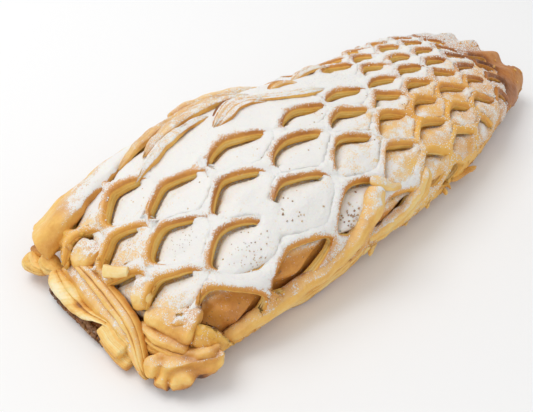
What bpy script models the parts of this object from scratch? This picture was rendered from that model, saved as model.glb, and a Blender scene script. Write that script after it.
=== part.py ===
"""Apple strudel: a filled pastry parcel under a sheet of lattice-cut puff pastry, all in metres.

+X runs along the loaf from its cut end to its far end, -Y is the side that the lattice leans
towards, +Z is up, and the origin is the middle of the flat base.
"""
import math

import bmesh
import bpy
import numpy as np
from mathutils import Vector, noise

# Loaf, measured on the parcel under the lattice
LENGTH = 0.2694
LEFT_HALF = 0.0420        # half width on the +Y side of the crest
RIGHT_HALF = 0.0540       # and on the -Y side
HEIGHT = 0.0480
BELLY = 0.020             # height at which the sides are widest
TUCK = 0.008              # how far the sides pull in below that
ROUNDNESS = 2.2           # superellipse power of the section
DRIFT = -0.040            # sideways slope of the loaf's middle line
NEAR_NARROWING_LEFT, NEAR_NARROWING_RIGHT, NEAR_LOWERING, NEAR_POWER = 0.11, 0.17, 0.80, 2.9
FAR_NARROWING_LEFT, FAR_NARROWING_RIGHT, FAR_LOWERING, FAR_POWER = 0.33, 0.42, 0.64, 2.1
WAIST_X, WAIST_SPREAD = 0.029, 0.047
WAIST_LEFT, WAIST_DIP = 0.20, 0.15   # how far the +Y side and the crest sink at the waist
SECTION_STEPS = 61        # samples on each arc of a section

# Lattice sheet: slits in staggered rows, pulled open into windows
SHEET = 0.0046            # thickness at a window's rim
CROWN = 0.0012            # extra height along the middle of a strand
FIRST_X = -0.0881         # column 0
FIRST_S = 0.0034          # row 0, measured from the crest towards -Y
PITCH_LEAST, PITCH_MOST, PITCH_PEAK, PITCH_SPREAD = 0.0192, 0.0333, 1.45, 2.17
ROW_LEAST, ROW_MOST, ROW_PEAK, ROW_SPREAD = 0.0109, 0.0173, 0.57, 1.9
ROW_DRIFT = 0.0015        # rows move towards -Y by this at each column
COLUMN_DRIFT = 0.00055
CELLS = 21                # cells along each side of the flat sheet
MIDDLE_CELL = 4
STRAND = 0.142            # half width of a strand, as a part of a cell
TIP_REACH = 1.20          # how far a window's pointed ends are drawn out
SHOULDER_REACH = 0.86     # how far its blunt corners are drawn in
NEAR_EDGE, NEAR_SLANT = -0.1265, 0.0083   # where the sheet is cut off, and its slant
FAR_EDGE, FAR_SLANT = 0.1335, 0.0
CORNER_X, CORNER_SHARE = 0.0175, 0.30     # the hem's near +Y corner, cut off over the small fold
HEM_HEIGHT = 0.0075       # the sheet's long edges end this high above the table
HEM_ROWS = 0.62           # rows between the last window's middle and those edges, at least

# Other pieces
GAP = 0.0006              # clearance between pieces that touch
PARCEL_NEAR, PARCEL_FAR = -0.1245, 0.1300
PARCEL_STATIONS, PARCEL_STEPS = 30, 22
PARCEL_DROP = 0.0014      # parcel's surface under the sheet, which spans it in flat facets
BASE_THICK = 0.0052
BASE_NEAR, BASE_FAR = -0.1405, 0.1405
BASE_LIP = 0.0050         # how far the base sheet shows beyond the tucked sides
BASE_SIDES = 80
BASE_CORNER = 5.0         # superellipse power of its outline
RUFFLE = 0.0009

RESTS_ON = {              # pieces that are hollowed where a neighbour presses into them
    "apple_parcel": ("end_flap", "end_roll", "left_corner_fold", "right_corner_fold"),
    "end_block": ("end_flap", "end_roll"),
    "end_flap": ("end_roll",),
    "left_corner_fold": ("base_sheet", "end_roll"),
    "right_corner_fold": ("base_sheet", "end_flap"),
}

BOX_MIDDLE = Vector((-0.0008, -0.0052, 0.0))   # middle of the whole, which becomes the origin

COLLECTION = "apple_strudel"
COLOURS = {               # base colour, roughness
    "base_sheet": ((0.62, 0.38, 0.15), 0.75),
    "apple_parcel": ((0.86, 0.74, 0.52), 0.60),
    "lattice_sheet": ((0.83, 0.55, 0.21), 0.55),
    "end_roll": ((0.89, 0.73, 0.40), 0.60),
    "end_flap": ((0.87, 0.68, 0.34), 0.60),
    "end_block": ((0.80, 0.56, 0.22), 0.65),
    "left_corner_fold": ((0.80, 0.57, 0.20), 0.60),
    "right_corner_fold": ((0.82, 0.58, 0.20), 0.60),
}


def clear_scene():
    """Remove what the scene holds and return a fresh collection for the strudel."""
    for old in list(bpy.data.objects):
        bpy.data.objects.remove(old, do_unlink=True)
    collection = bpy.data.collections.new(COLLECTION)
    bpy.context.scene.collection.children.link(collection)
    return collection


# ---------------------------------------------------------------- shape of the loaf

def left_after(x, near_loss, far_loss):
    """Share of a size that is left at x, as the loaf shrinks to both ends."""
    end = min(abs(x) / (LENGTH / 2), 1.0)
    if x < 0:
        return 1 - near_loss * end ** NEAR_POWER
    return 1 - far_loss * end ** FAR_POWER


def sizes_at(x):
    """Half width on the +Y side, half width on the -Y side, and height of the loaf at x."""
    waist = math.exp(-((x - WAIST_X) / WAIST_SPREAD) ** 2)
    left = LEFT_HALF * left_after(x, NEAR_NARROWING_LEFT, FAR_NARROWING_LEFT)
    right = RIGHT_HALF * left_after(x, NEAR_NARROWING_RIGHT, FAR_NARROWING_RIGHT)
    height = HEIGHT * left_after(x, NEAR_LOWERING, FAR_LOWERING)
    return left * (1 - WAIST_LEFT * waist), right, height * (1 - WAIST_DIP * waist)


def section(x):
    """Outline of the loaf at x, from the +Y floor edge over the crest: arc lengths, y and z."""
    left, right, height = sizes_at(x)
    belly = min(BELLY, 0.5 * height)
    low = np.linspace(math.pi / 2, 0, SECTION_STEPS)[:-1]
    top = np.linspace(0, math.pi / 2, SECTION_STEPS)
    z = np.concatenate([belly * (1 - np.sin(low)),
                        belly + (height - belly) * np.sin(top) ** (2 / ROUNDNESS)])
    side = [np.concatenate([half - TUCK * (1 - np.cos(low)), half * np.cos(top) ** (2 / ROUNDNESS)])
            for half in (left, right)]
    y = np.concatenate([side[0], -side[1][-2::-1]]) + DRIFT * x
    z = np.concatenate([z, z[-2::-1]])
    arc = np.concatenate([[0], np.cumsum(np.hypot(np.diff(y), np.diff(z)))])
    return arc - arc[len(side[0]) - 1], y, z


def reach(x, height):
    """Distances over the surface from the crest to where both sides come down to a height."""
    arc, _, z = section(x)
    above = arc[z > height]
    return -float(above[0]), float(above[-1])


def inside(x):
    """The nearest place to x that is still on the loaf."""
    return max(min(x, LENGTH / 2), -LENGTH / 2)


def hem_share(x, s):
    """How far s lies from the crest, as a share of the way to the sheet's long edge."""
    left, right = reach(inside(x), HEM_HEIGHT)
    return s / (right if s > 0 else left)


def hem_place(x, share):
    """The distance from the crest that hem_share would give as this share."""
    left, right = reach(inside(x), HEM_HEIGHT)
    return share * (right if share > 0 else left)


def surface(x, s):
    """Point of the loaf at x, a distance s from the crest towards -Y."""
    arc, y, z = section(x)
    return Vector((x, float(np.interp(s, arc, y)), float(np.interp(s, arc, z))))


def lifted(x, s, height):
    """Point at a height over the loaf's surface, square to it."""
    step = 0.0008
    along = surface(x + step, s) - surface(x - step, s)
    across = surface(x, s + step) - surface(x, s - step)
    return surface(x, s) + across.cross(along).normalized() * height


# ---------------------------------------------------------------- ways of making a mesh

def dress(node, mesh, collection):
    """Make the object of a node from its mesh, with its own material."""
    colour, roughness = COLOURS[node]
    material = bpy.data.materials.new(node)
    material.use_nodes = True
    shader = material.node_tree.nodes["Principled BSDF"]
    shader.inputs["Base Color"].default_value = (*colour, 1.0)
    shader.inputs["Roughness"].default_value = roughness
    shader.inputs["Metallic"].default_value = 0.0
    mesh.materials.append(material)
    piece = bpy.data.objects.new(node, mesh)
    collection.objects.link(piece)
    return piece


def to_mesh(node, bm):
    """Turn a closed bmesh into a mesh, with its faces pointing out."""
    bmesh.ops.recalc_face_normals(bm, faces=bm.faces)
    if bm.calc_volume(signed=True) < 0:
        bmesh.ops.reverse_faces(bm, faces=bm.faces)
    mesh = bpy.data.meshes.new(node)
    bm.to_mesh(mesh)
    bm.free()
    return mesh


def loft(node, rings):
    """Skin a row of rings, each a list of the same number of points, and cap both ends."""
    bm = bmesh.new()
    first = bmesh.ops.create_circle(bm, cap_ends=True, segments=len(rings[0]), radius=0.01)["verts"]
    for vert, point in zip(first, rings[0]):
        vert.co = point
    loop = list(bm.edges)
    ring_verts = first
    for ring in rings[1:]:
        grown = bmesh.ops.extrude_edge_only(bm, edges=loop)["geom"]
        loop = [item for item in grown if isinstance(item, bmesh.types.BMEdge)
                and all(vert not in ring_verts for vert in item.verts)]
        fresh = {item for item in grown if isinstance(item, bmesh.types.BMVert)}
        ring_verts = [next(edge.other_vert(vert) for edge in vert.link_edges
                           if edge.other_vert(vert) in fresh) for vert in ring_verts]
        for vert, point in zip(ring_verts, ring):
            vert.co = point
    bmesh.ops.contextual_create(bm, geom=loop)
    return to_mesh(node, bm)


def smooth_path(points, steps):
    """Read evenly spaced points from a smooth curve through a few hand-set ones."""
    points = [Vector(point) for point in points]
    padded = [points[0] * 2 - points[1], *points, points[-1] * 2 - points[-2]]
    path = []
    for k in range(steps):
        place = k / (steps - 1) * (len(points) - 1)
        i = min(int(place), len(points) - 2)
        t = place - i
        a, b, c, d = padded[i:i + 4]
        path.append(0.5 * (2 * b + (c - a) * t + (2 * a - 5 * b + 4 * c - d) * t ** 2
                           + (3 * b - 3 * c + d - a) * t ** 3))
    return path


def tongue(node, points, width, thick, face, sides=14, steps=15, swell=0.0, fold=0.0):
    """A strip of dough along a path: width across, thick along its face, round ends, one fold line.

    swell makes the middle wider than the ends by this share, and fold dents one long side.
    """
    path = smooth_path(points, steps)
    face = Vector(face)
    rings = []
    for k, centre in enumerate(path):
        ahead = (path[min(k + 1, steps - 1)] - path[max(k - 1, 0)]).normalized()
        across = ahead.cross(face).normalized()
        out = across.cross(ahead).normalized()
        end = 2 * k / (steps - 1) - 1
        size = (1 - abs(end) ** 5) ** 0.5 * 0.75 + 0.25
        size *= 1 + swell * (1 - end * end)
        ring = []
        for j in range(sides):
            turn = math.tau * j / sides
            dent = 1 - fold * max(0.0, math.cos(turn)) ** 6
            ring.append(centre + across * (math.cos(turn) * width / 2 * size * dent)
                        + out * (math.sin(turn) * thick / 2 * size))
        rings.append(ring)
    return loft(node, rings)


def carve(piece, neighbour, cutters):
    """Cut a piece clear of its neighbour, leaving the usual gap."""
    swollen = neighbour.data.copy()
    for vert, normal in zip(swollen.vertices, [vert.normal.copy() for vert in swollen.vertices]):
        vert.co += normal * GAP
    cutter = bpy.data.objects.new(f"{neighbour.name}_clearance_{piece.name}", swollen)
    cutters.objects.link(cutter)
    cutter.hide_render = True
    cutter.display_type = "WIRE"
    cut = piece.modifiers.new(f"clear_of_{neighbour.name}", "BOOLEAN")
    cut.operation = "DIFFERENCE"
    cut.solver = "EXACT"
    cut.object = cutter


# ---------------------------------------------------------------- lattice sheet

def bell(u, least, most, peak, spread):
    """A pitch that is widest where the dough was pulled open most."""
    return least + (most - least) * math.exp(-((u - peak) / spread) ** 2)


def column_x(u):
    """Place of a column along the loaf: the pitches up to it, added together."""
    swing = (PITCH_MOST - PITCH_LEAST) * PITCH_SPREAD * math.sqrt(math.pi) / 2
    return FIRST_X + PITCH_LEAST * u + swing * (
        math.erf((u - PITCH_PEAK) / PITCH_SPREAD) + math.erf(PITCH_PEAK / PITCH_SPREAD))


def lattice_place(p, q):
    """Place on the loaf, x and s, of a point of the flat sheet whose strands run along p and q."""
    column, row = (p + q) / 2, p - q
    x = column_x(column) + COLUMN_DRIFT * column * row
    s = FIRST_S + ROW_DRIFT * column + row * bell(column, ROW_LEAST, ROW_MOST, ROW_PEAK, ROW_SPREAD)
    return x, s


def window_is_cut(centre):
    """Whether a cell of the sheet is opened: the hem along both long edges is left whole."""
    x, s = lattice_place(centre.x, centre.y)
    row = bell((centre.x + centre.y) / 2, ROW_LEAST, ROW_MOST, ROW_PEAK, ROW_SPREAD)
    return abs(hem_share(x, s + math.copysign(row * HEM_ROWS, s))) < 1


def flat_lattice():
    """The cut sheet laid flat: cells as squares along p and q, with a window inset in each."""
    bm = bmesh.new()
    bmesh.ops.create_grid(bm, x_segments=CELLS, y_segments=CELLS, size=CELLS / 2)
    bmesh.ops.translate(bm, verts=bm.verts, vec=(MIDDLE_CELL, MIDDLE_CELL, 0))
    outside = []
    for cell in bm.faces:
        x, s = lattice_place(*cell.calc_center_median().xy)
        if not -LENGTH * 0.56 < x < LENGTH * 0.56 or abs(hem_share(x, s)) > 1.3:
            outside.append(cell)
    bmesh.ops.delete(bm, geom=outside, context="FACES")
    bmesh.ops.bisect_edges(bm, edges=bm.edges, cuts=1)
    cells = list(bm.faces)
    centres = {cell: cell.calc_center_median() for cell in cells}
    bmesh.ops.inset_individual(bm, faces=cells, thickness=STRAND, use_even_offset=True)
    for cell, centre in centres.items():
        for vert in cell.verts:
            away = vert.co - centre
            if min(abs(away.x), abs(away.y)) > 0.1:
                reach = TIP_REACH if away.x * away.y > 0 else SHOULDER_REACH
                vert.co = centre + away * reach
    cut = [cell for cell, centre in centres.items() if window_is_cut(centre)]
    bmesh.ops.delete(bm, geom=cut, context="FACES")
    return bm


def trim(bm, place, outward):
    """Cut the flat sheet along a line and drop what lies beyond it."""
    geometry = [*bm.verts, *bm.edges, *bm.faces]
    bmesh.ops.bisect_plane(bm, geom=geometry, dist=1e-6, plane_co=place, plane_no=outward,
                           clear_outer=True)


def make_lattice_sheet():
    """Lattice sheet with real windows, bent over the loaf."""
    bm = flat_lattice()
    for vert in bm.verts:
        x, s = lattice_place(vert.co.x, vert.co.y)
        vert.co = (x, hem_share(x, s), 0)
    trim(bm, (0, 1, 0), (0, 1, 0))
    trim(bm, (0, -1, 0), (0, -1, 0))
    trim(bm, (NEAR_EDGE, 0, 0), (-1, NEAR_SLANT, 0))
    trim(bm, (FAR_EDGE, 0, 0), (1, FAR_SLANT, 0))
    trim(bm, (NEAR_EDGE - NEAR_SLANT, CORNER_SHARE - 1, 0), (-CORNER_SHARE, -CORNER_X, 0))
    bmesh.ops.dissolve_degenerate(bm, dist=1e-5, edges=bm.edges)
    loose = [vert for vert in bm.verts if not vert.link_faces]
    bmesh.ops.delete(bm, geom=loose, context="VERTS")
    bmesh.ops.recalc_face_normals(bm, faces=bm.faces)
    bmesh.ops.solidify(bm, geom=bm.faces, thickness=SHEET)
    lowest = min(vert.co.z for vert in bm.verts)
    bmesh.ops.translate(bm, verts=bm.verts, vec=(0, 0, -lowest))
    for vert in bm.verts:
        inner = all(abs(face.normal.z) > 0.5 for face in vert.link_faces)
        if vert.co.z > SHEET / 2 and inner:
            vert.co.z += CROWN
    for vert in bm.verts:
        x, share, height = vert.co
        vert.co = lifted(x, hem_place(x, share), height)
    return to_mesh("lattice_sheet", bm)


# ---------------------------------------------------------------- parcel and base

def parcel_ring(x, shrink):
    """Outline of the parcel at x, standing just over the base sheet; shrink rounds off its ends."""
    foot = BASE_THICK + GAP
    left, right = reach(x, foot + 0.001)
    ring = [lifted(x, -left + (left + right) * k / PARCEL_STEPS, -PARCEL_DROP)
            for k in range(PARCEL_STEPS + 1)]
    floor_mid = Vector((x, DRIFT * x, foot))
    corners = [Vector((x, ring[-1].y, foot)), Vector((x, ring[0].y, foot))]
    ring = [Vector((x, point.y, max(point.z, foot + 0.0004))) for point in ring] + corners
    return [floor_mid + (point - floor_mid) * shrink for point in ring]


def make_parcel():
    """The filled parcel under the lattice, with rounded ends."""
    rings = []
    for k in range(PARCEL_STATIONS):
        share = k / (PARCEL_STATIONS - 1)
        end = abs(2 * share - 1)
        x = PARCEL_NEAR + (PARCEL_FAR - PARCEL_NEAR) * (0.5 - 0.5 * math.cos(math.pi * share))
        rings.append(parcel_ring(x, (1 - end ** 12) ** 0.35 * 0.75 + 0.25))
    return loft("apple_parcel", rings)


def base_ring(inset, z):
    """Outline of the base sheet at a height, drawn in by an inset, with ruffled edges."""
    ring = []
    middle, half = (BASE_NEAR + BASE_FAR) / 2, (BASE_FAR - BASE_NEAR) / 2
    for k in range(BASE_SIDES):
        turn = math.tau * k / BASE_SIDES
        along, aside = math.cos(turn), math.sin(turn)
        x = middle + (half - inset) * math.copysign(abs(along) ** (2 / BASE_CORNER), along)
        left, right, _ = sizes_at(inside(x))
        y = (left if aside > 0 else right) - TUCK + BASE_LIP - inset
        y *= math.copysign(abs(aside) ** (2 / BASE_CORNER), aside)
        wave = 1 + RUFFLE / RIGHT_HALF * noise.noise(Vector((x, y, 2 * z)) * 90)
        ring.append(Vector((x, y * wave + DRIFT * x, z)))
    return ring


def make_base_sheet():
    """The sheet of dough that everything lies on, flat below."""
    rings = [base_ring(0.0012, 0.0), base_ring(0.0, 0.0014), base_ring(0.0, BASE_THICK * 0.7),
             base_ring(0.0016, BASE_THICK)]
    return loft("base_sheet", rings)


# ---------------------------------------------------------------- folded dough at the cut end

def make_end_roll():
    """The lower sheet's end, rolled over into a soft lip across the cut end."""
    path = [(-0.1335, 0.0300, 0.0098), (-0.1352, 0.0190, 0.0100), (-0.1352, 0.0040, 0.0100),
            (-0.1335, -0.0080, 0.0100), (-0.1325, -0.0160, 0.0098)]
    return tongue("end_roll", path, 0.0092, 0.0080, (0, 0, 1), swell=0.15)


def make_end_flap():
    """A flap of layered dough folded slantwise down over the cut end."""
    path = [(-0.1338, 0.0110, 0.0162), (-0.1342, -0.0020, 0.0160), (-0.1350, -0.0150, 0.0145),
            (-0.1364, -0.0270, 0.0110), (-0.1378, -0.0360, 0.0075)]
    return tongue("end_flap", path, 0.0125, 0.0050, (-0.8, 0, 0.6), fold=0.25)


def make_end_block():
    """A square-cut stub of layered dough that pokes out under the roll."""
    bm = bmesh.new()
    bmesh.ops.create_cube(bm, size=1.0)
    bmesh.ops.scale(bm, vec=(0.0064, 0.0110, 0.0046), verts=bm.verts)
    bmesh.ops.bevel(bm, geom=bm.edges, offset=0.0008, segments=2, affect="EDGES", profile=0.5,
                    material=-1)
    bmesh.ops.translate(bm, vec=(-0.1388, -0.0195, 0.0081), verts=bm.verts)
    return to_mesh("end_block", bm)


def make_right_corner():
    """The pinched corner at the -Y side of the cut end, standing on the table."""
    path = [(-0.1362, -0.0400, 0.0085), (-0.1320, -0.0437, 0.0090), (-0.1262, -0.0470, 0.0088),
            (-0.1213, -0.0485, 0.0080)]
    return tongue("right_corner_fold", path, 0.0125, 0.0150, (0, 0, 1), steps=11, fold=0.2)


def make_left_corner():
    """The smaller tucked corner at the +Y side, under the end of the thickest strand."""
    path = [(-0.1335, 0.0400, 0.0075), (-0.1362, 0.0362, 0.0082), (-0.1372, 0.0318, 0.0080)]
    return tongue("left_corner_fold", path, 0.0085, 0.0105, (0, 0, 1), steps=9, fold=0.2)


def main():
    """Build each piece, then cut each one clear of those it rests against."""
    collection = clear_scene()
    cutters = bpy.data.collections.new("clearances")
    bpy.context.scene.collection.children.link(cutters)
    makers = {"base_sheet": make_base_sheet, "apple_parcel": make_parcel,
              "lattice_sheet": make_lattice_sheet, "end_roll": make_end_roll,
              "end_flap": make_end_flap, "end_block": make_end_block,
              "left_corner_fold": make_left_corner, "right_corner_fold": make_right_corner}
    pieces = {node: dress(node, make(), collection) for node, make in makers.items()}
    for piece, neighbours in RESTS_ON.items():
        for neighbour in neighbours:
            carve(pieces[piece], pieces[neighbour], cutters)
    for thing in [*collection.objects, *cutters.objects]:
        thing.location = -BOX_MIDDLE
        thing.data.shade_smooth()


main()
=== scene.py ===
"""The looks of a sugared lattice strudel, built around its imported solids.

The loaf's surface is worked out once, by Loaf. The lattice crust, the pillowy parcel, the bottom
crust and the folded dough at the cut end are modelled over it, and sugar, crumbs and flakes are
scattered on them. Sizes are in metres, except in the table of folds, where they are in tenths of a
millimetre.
"""
import logging
import math
from dataclasses import dataclass, field
from enum import Enum
from functools import cached_property
from typing import Iterable, Sequence

import bmesh
import bpy
import numpy as np
from mathutils import Matrix, Vector, noise
from mathutils.kdtree import KDTree


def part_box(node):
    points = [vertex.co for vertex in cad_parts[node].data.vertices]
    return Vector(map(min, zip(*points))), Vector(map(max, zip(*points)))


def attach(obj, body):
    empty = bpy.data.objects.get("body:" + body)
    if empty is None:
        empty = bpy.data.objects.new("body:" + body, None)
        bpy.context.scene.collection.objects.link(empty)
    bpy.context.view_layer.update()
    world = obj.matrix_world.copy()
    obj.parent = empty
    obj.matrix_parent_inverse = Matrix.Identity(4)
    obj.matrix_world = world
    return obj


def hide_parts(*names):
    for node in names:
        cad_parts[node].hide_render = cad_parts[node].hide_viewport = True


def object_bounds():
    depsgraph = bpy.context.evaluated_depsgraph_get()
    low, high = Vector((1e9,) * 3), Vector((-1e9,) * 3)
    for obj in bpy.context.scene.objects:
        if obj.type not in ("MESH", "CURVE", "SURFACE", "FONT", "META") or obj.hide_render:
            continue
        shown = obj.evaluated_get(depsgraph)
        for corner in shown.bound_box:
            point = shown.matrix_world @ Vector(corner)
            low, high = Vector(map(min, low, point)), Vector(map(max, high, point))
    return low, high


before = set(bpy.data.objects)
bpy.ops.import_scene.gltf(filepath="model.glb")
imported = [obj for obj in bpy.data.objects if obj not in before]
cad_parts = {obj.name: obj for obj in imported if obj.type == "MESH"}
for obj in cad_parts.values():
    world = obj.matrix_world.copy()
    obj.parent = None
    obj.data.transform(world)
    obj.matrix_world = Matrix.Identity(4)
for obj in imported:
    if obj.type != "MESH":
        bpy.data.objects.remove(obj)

CAD_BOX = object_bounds()
TENTHS_OF_MM = 10000
HUNDREDTHS = 100
SECTION_UNITS = np.array([[HUNDREDTHS], [TENTHS_OF_MM], [HUNDREDTHS], [HUNDREDTHS]])
LOG = logging.getLogger("strudel")


class Node(Enum):
    """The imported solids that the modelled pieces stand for."""

    BASE = "base_sheet"
    PARCEL = "apple_parcel"
    LATTICE = "lattice_sheet"
    ROLL = "end_roll"
    FLAP = "end_flap"
    BLOCK = "end_block"
    LEFT_CORNER = "left_corner_fold"
    RIGHT_CORNER = "right_corner_fold"


class Slot(Enum):
    """The record's material slots."""

    BOTTOM = "bottom_crust"
    PARCEL = "sugared_parcel"
    LATTICE = "lattice_crust"
    FOLDS = "folded_dough"


# ---- small helpers

def ramp01(low: float, high: float, value: np.ndarray) -> np.ndarray:
    """A smooth step from 0 at low to 1 at high, which may run backwards."""
    share = np.clip((value - low) / (high - low), 0.0, 1.0)
    return share * share * (3 - 2 * share)


def bump(value: np.ndarray, middle: float, spread: float) -> np.ndarray:
    """A bell of height 1 round a middle."""
    return np.exp(-((value - middle) / spread) ** 2)


def rough(points: np.ndarray, size: float, seed: float = 0.0) -> np.ndarray:
    """Smooth noise from -1 to 1 at each point.

    Args:
        points: one row of coordinates for each point.
        size: distance over which the noise changes, in metres.
        seed: moves the pattern, so that uses of it don't line up.

    Returns:
        One number for each point.
    """
    shift = Vector((seed * 7.31, seed * 3.17, seed * 5.71))
    return np.array([noise.noise(Vector(point) / size + shift) for point in points])


def gather(items: bpy.types.bpy_prop_collection, key: str, width: int = 1,
           kind: type = np.float32) -> np.ndarray:
    """Read a number, or a few of them, from each of a mesh's items.

    Args:
        items: the mesh's vertices, faces or another collection.
        key: what is read.
        width: how many numbers each item has.
        kind: the type of number that is kept there.

    Returns:
        One row for each item, or one number where width is 1.
    """
    found = np.empty(len(items) * width, kind)
    items.foreach_get(key, found)
    return found if width == 1 else found.reshape(-1, width)


def coordinates(mesh: bpy.types.Mesh) -> np.ndarray:
    """The places of a mesh's vertices, a row for each."""
    return gather(mesh.vertices, "co", 3).astype(float)


def normals(mesh: bpy.types.Mesh) -> np.ndarray:
    """The directions that a mesh's vertices face, a row for each."""
    return gather(mesh.vertex_normals, "vector", 3).astype(float)


def move_to(mesh: bpy.types.Mesh, points: np.ndarray) -> None:
    """Put a mesh's vertices at new places."""
    mesh.vertices.foreach_set("co", points.astype(np.float32).ravel())
    mesh.update()


def store(mesh: bpy.types.Mesh, **numbers: np.ndarray) -> None:
    """Keep numbers for each vertex under names that materials can read.

    Args:
        mesh: the mesh that keeps them.
        numbers: one array for each name.
    """
    for name, values in numbers.items():
        layer = mesh.attributes.get(name) or mesh.attributes.new(name, "FLOAT", "POINT")
        layer.data.foreach_set("value", np.asarray(values, np.float32))


def fetch(mesh: bpy.types.Mesh, name: str) -> np.ndarray:
    """Read back a number for each vertex."""
    return gather(mesh.attributes[name].data, "value").astype(float)


def finder(places: Sequence) -> KDTree:
    """A tree that finds the nearest of some places.

    Args:
        places: coordinates of each.

    Returns:
        The tree, which numbers the places in their order.
    """
    tree = KDTree(len(places))
    for index, place in enumerate(places):
        tree.insert(place, index)
    tree.balance()
    return tree


def finish_mesh(name: str, bm: bmesh.types.BMesh) -> bpy.types.Mesh:
    """Turn a closed bmesh into a mesh that faces outwards and is shaded smooth.

    Args:
        name: the mesh's name.
        bm: the closed shape, which is freed.

    Returns:
        The mesh.
    """
    bmesh.ops.recalc_face_normals(bm, faces=bm.faces)
    if bm.calc_volume(signed=True) < 0:
        bmesh.ops.reverse_faces(bm, faces=bm.faces)
    mesh = bpy.data.meshes.new(name)
    bm.to_mesh(mesh)
    bm.free()
    mesh.shade_smooth()
    return mesh


def stand(name: str, data: bpy.types.ID) -> bpy.types.Object:
    """Put a new object into the scene.

    Args:
        name: its name.
        data: its mesh, light or camera.

    Returns:
        The object.
    """
    made = bpy.data.objects.new(name, data)
    bpy.context.scene.collection.objects.link(made)
    return made


def add_piece(name: str, mesh: bpy.types.Mesh, material: bpy.types.Material, slot: Slot,
              *stands_for: Node) -> bpy.types.Object:
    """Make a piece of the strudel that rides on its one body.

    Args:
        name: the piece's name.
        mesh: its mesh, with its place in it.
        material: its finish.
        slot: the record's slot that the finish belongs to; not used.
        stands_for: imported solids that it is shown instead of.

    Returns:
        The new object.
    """
    points = coordinates(mesh)
    move_to(mesh, np.clip(points, CAD_BOX[0], CAD_BOX[1]))
    mesh.materials.clear()
    mesh.materials.append(material)
    piece = stand(name, mesh)
    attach(piece, "root")
    if stands_for:
        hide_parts(*[node.value for node in stands_for])
    LOG.info("%s: %d faces", name, len(mesh.polygons))
    return piece


# ---- the loaf's form

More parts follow.
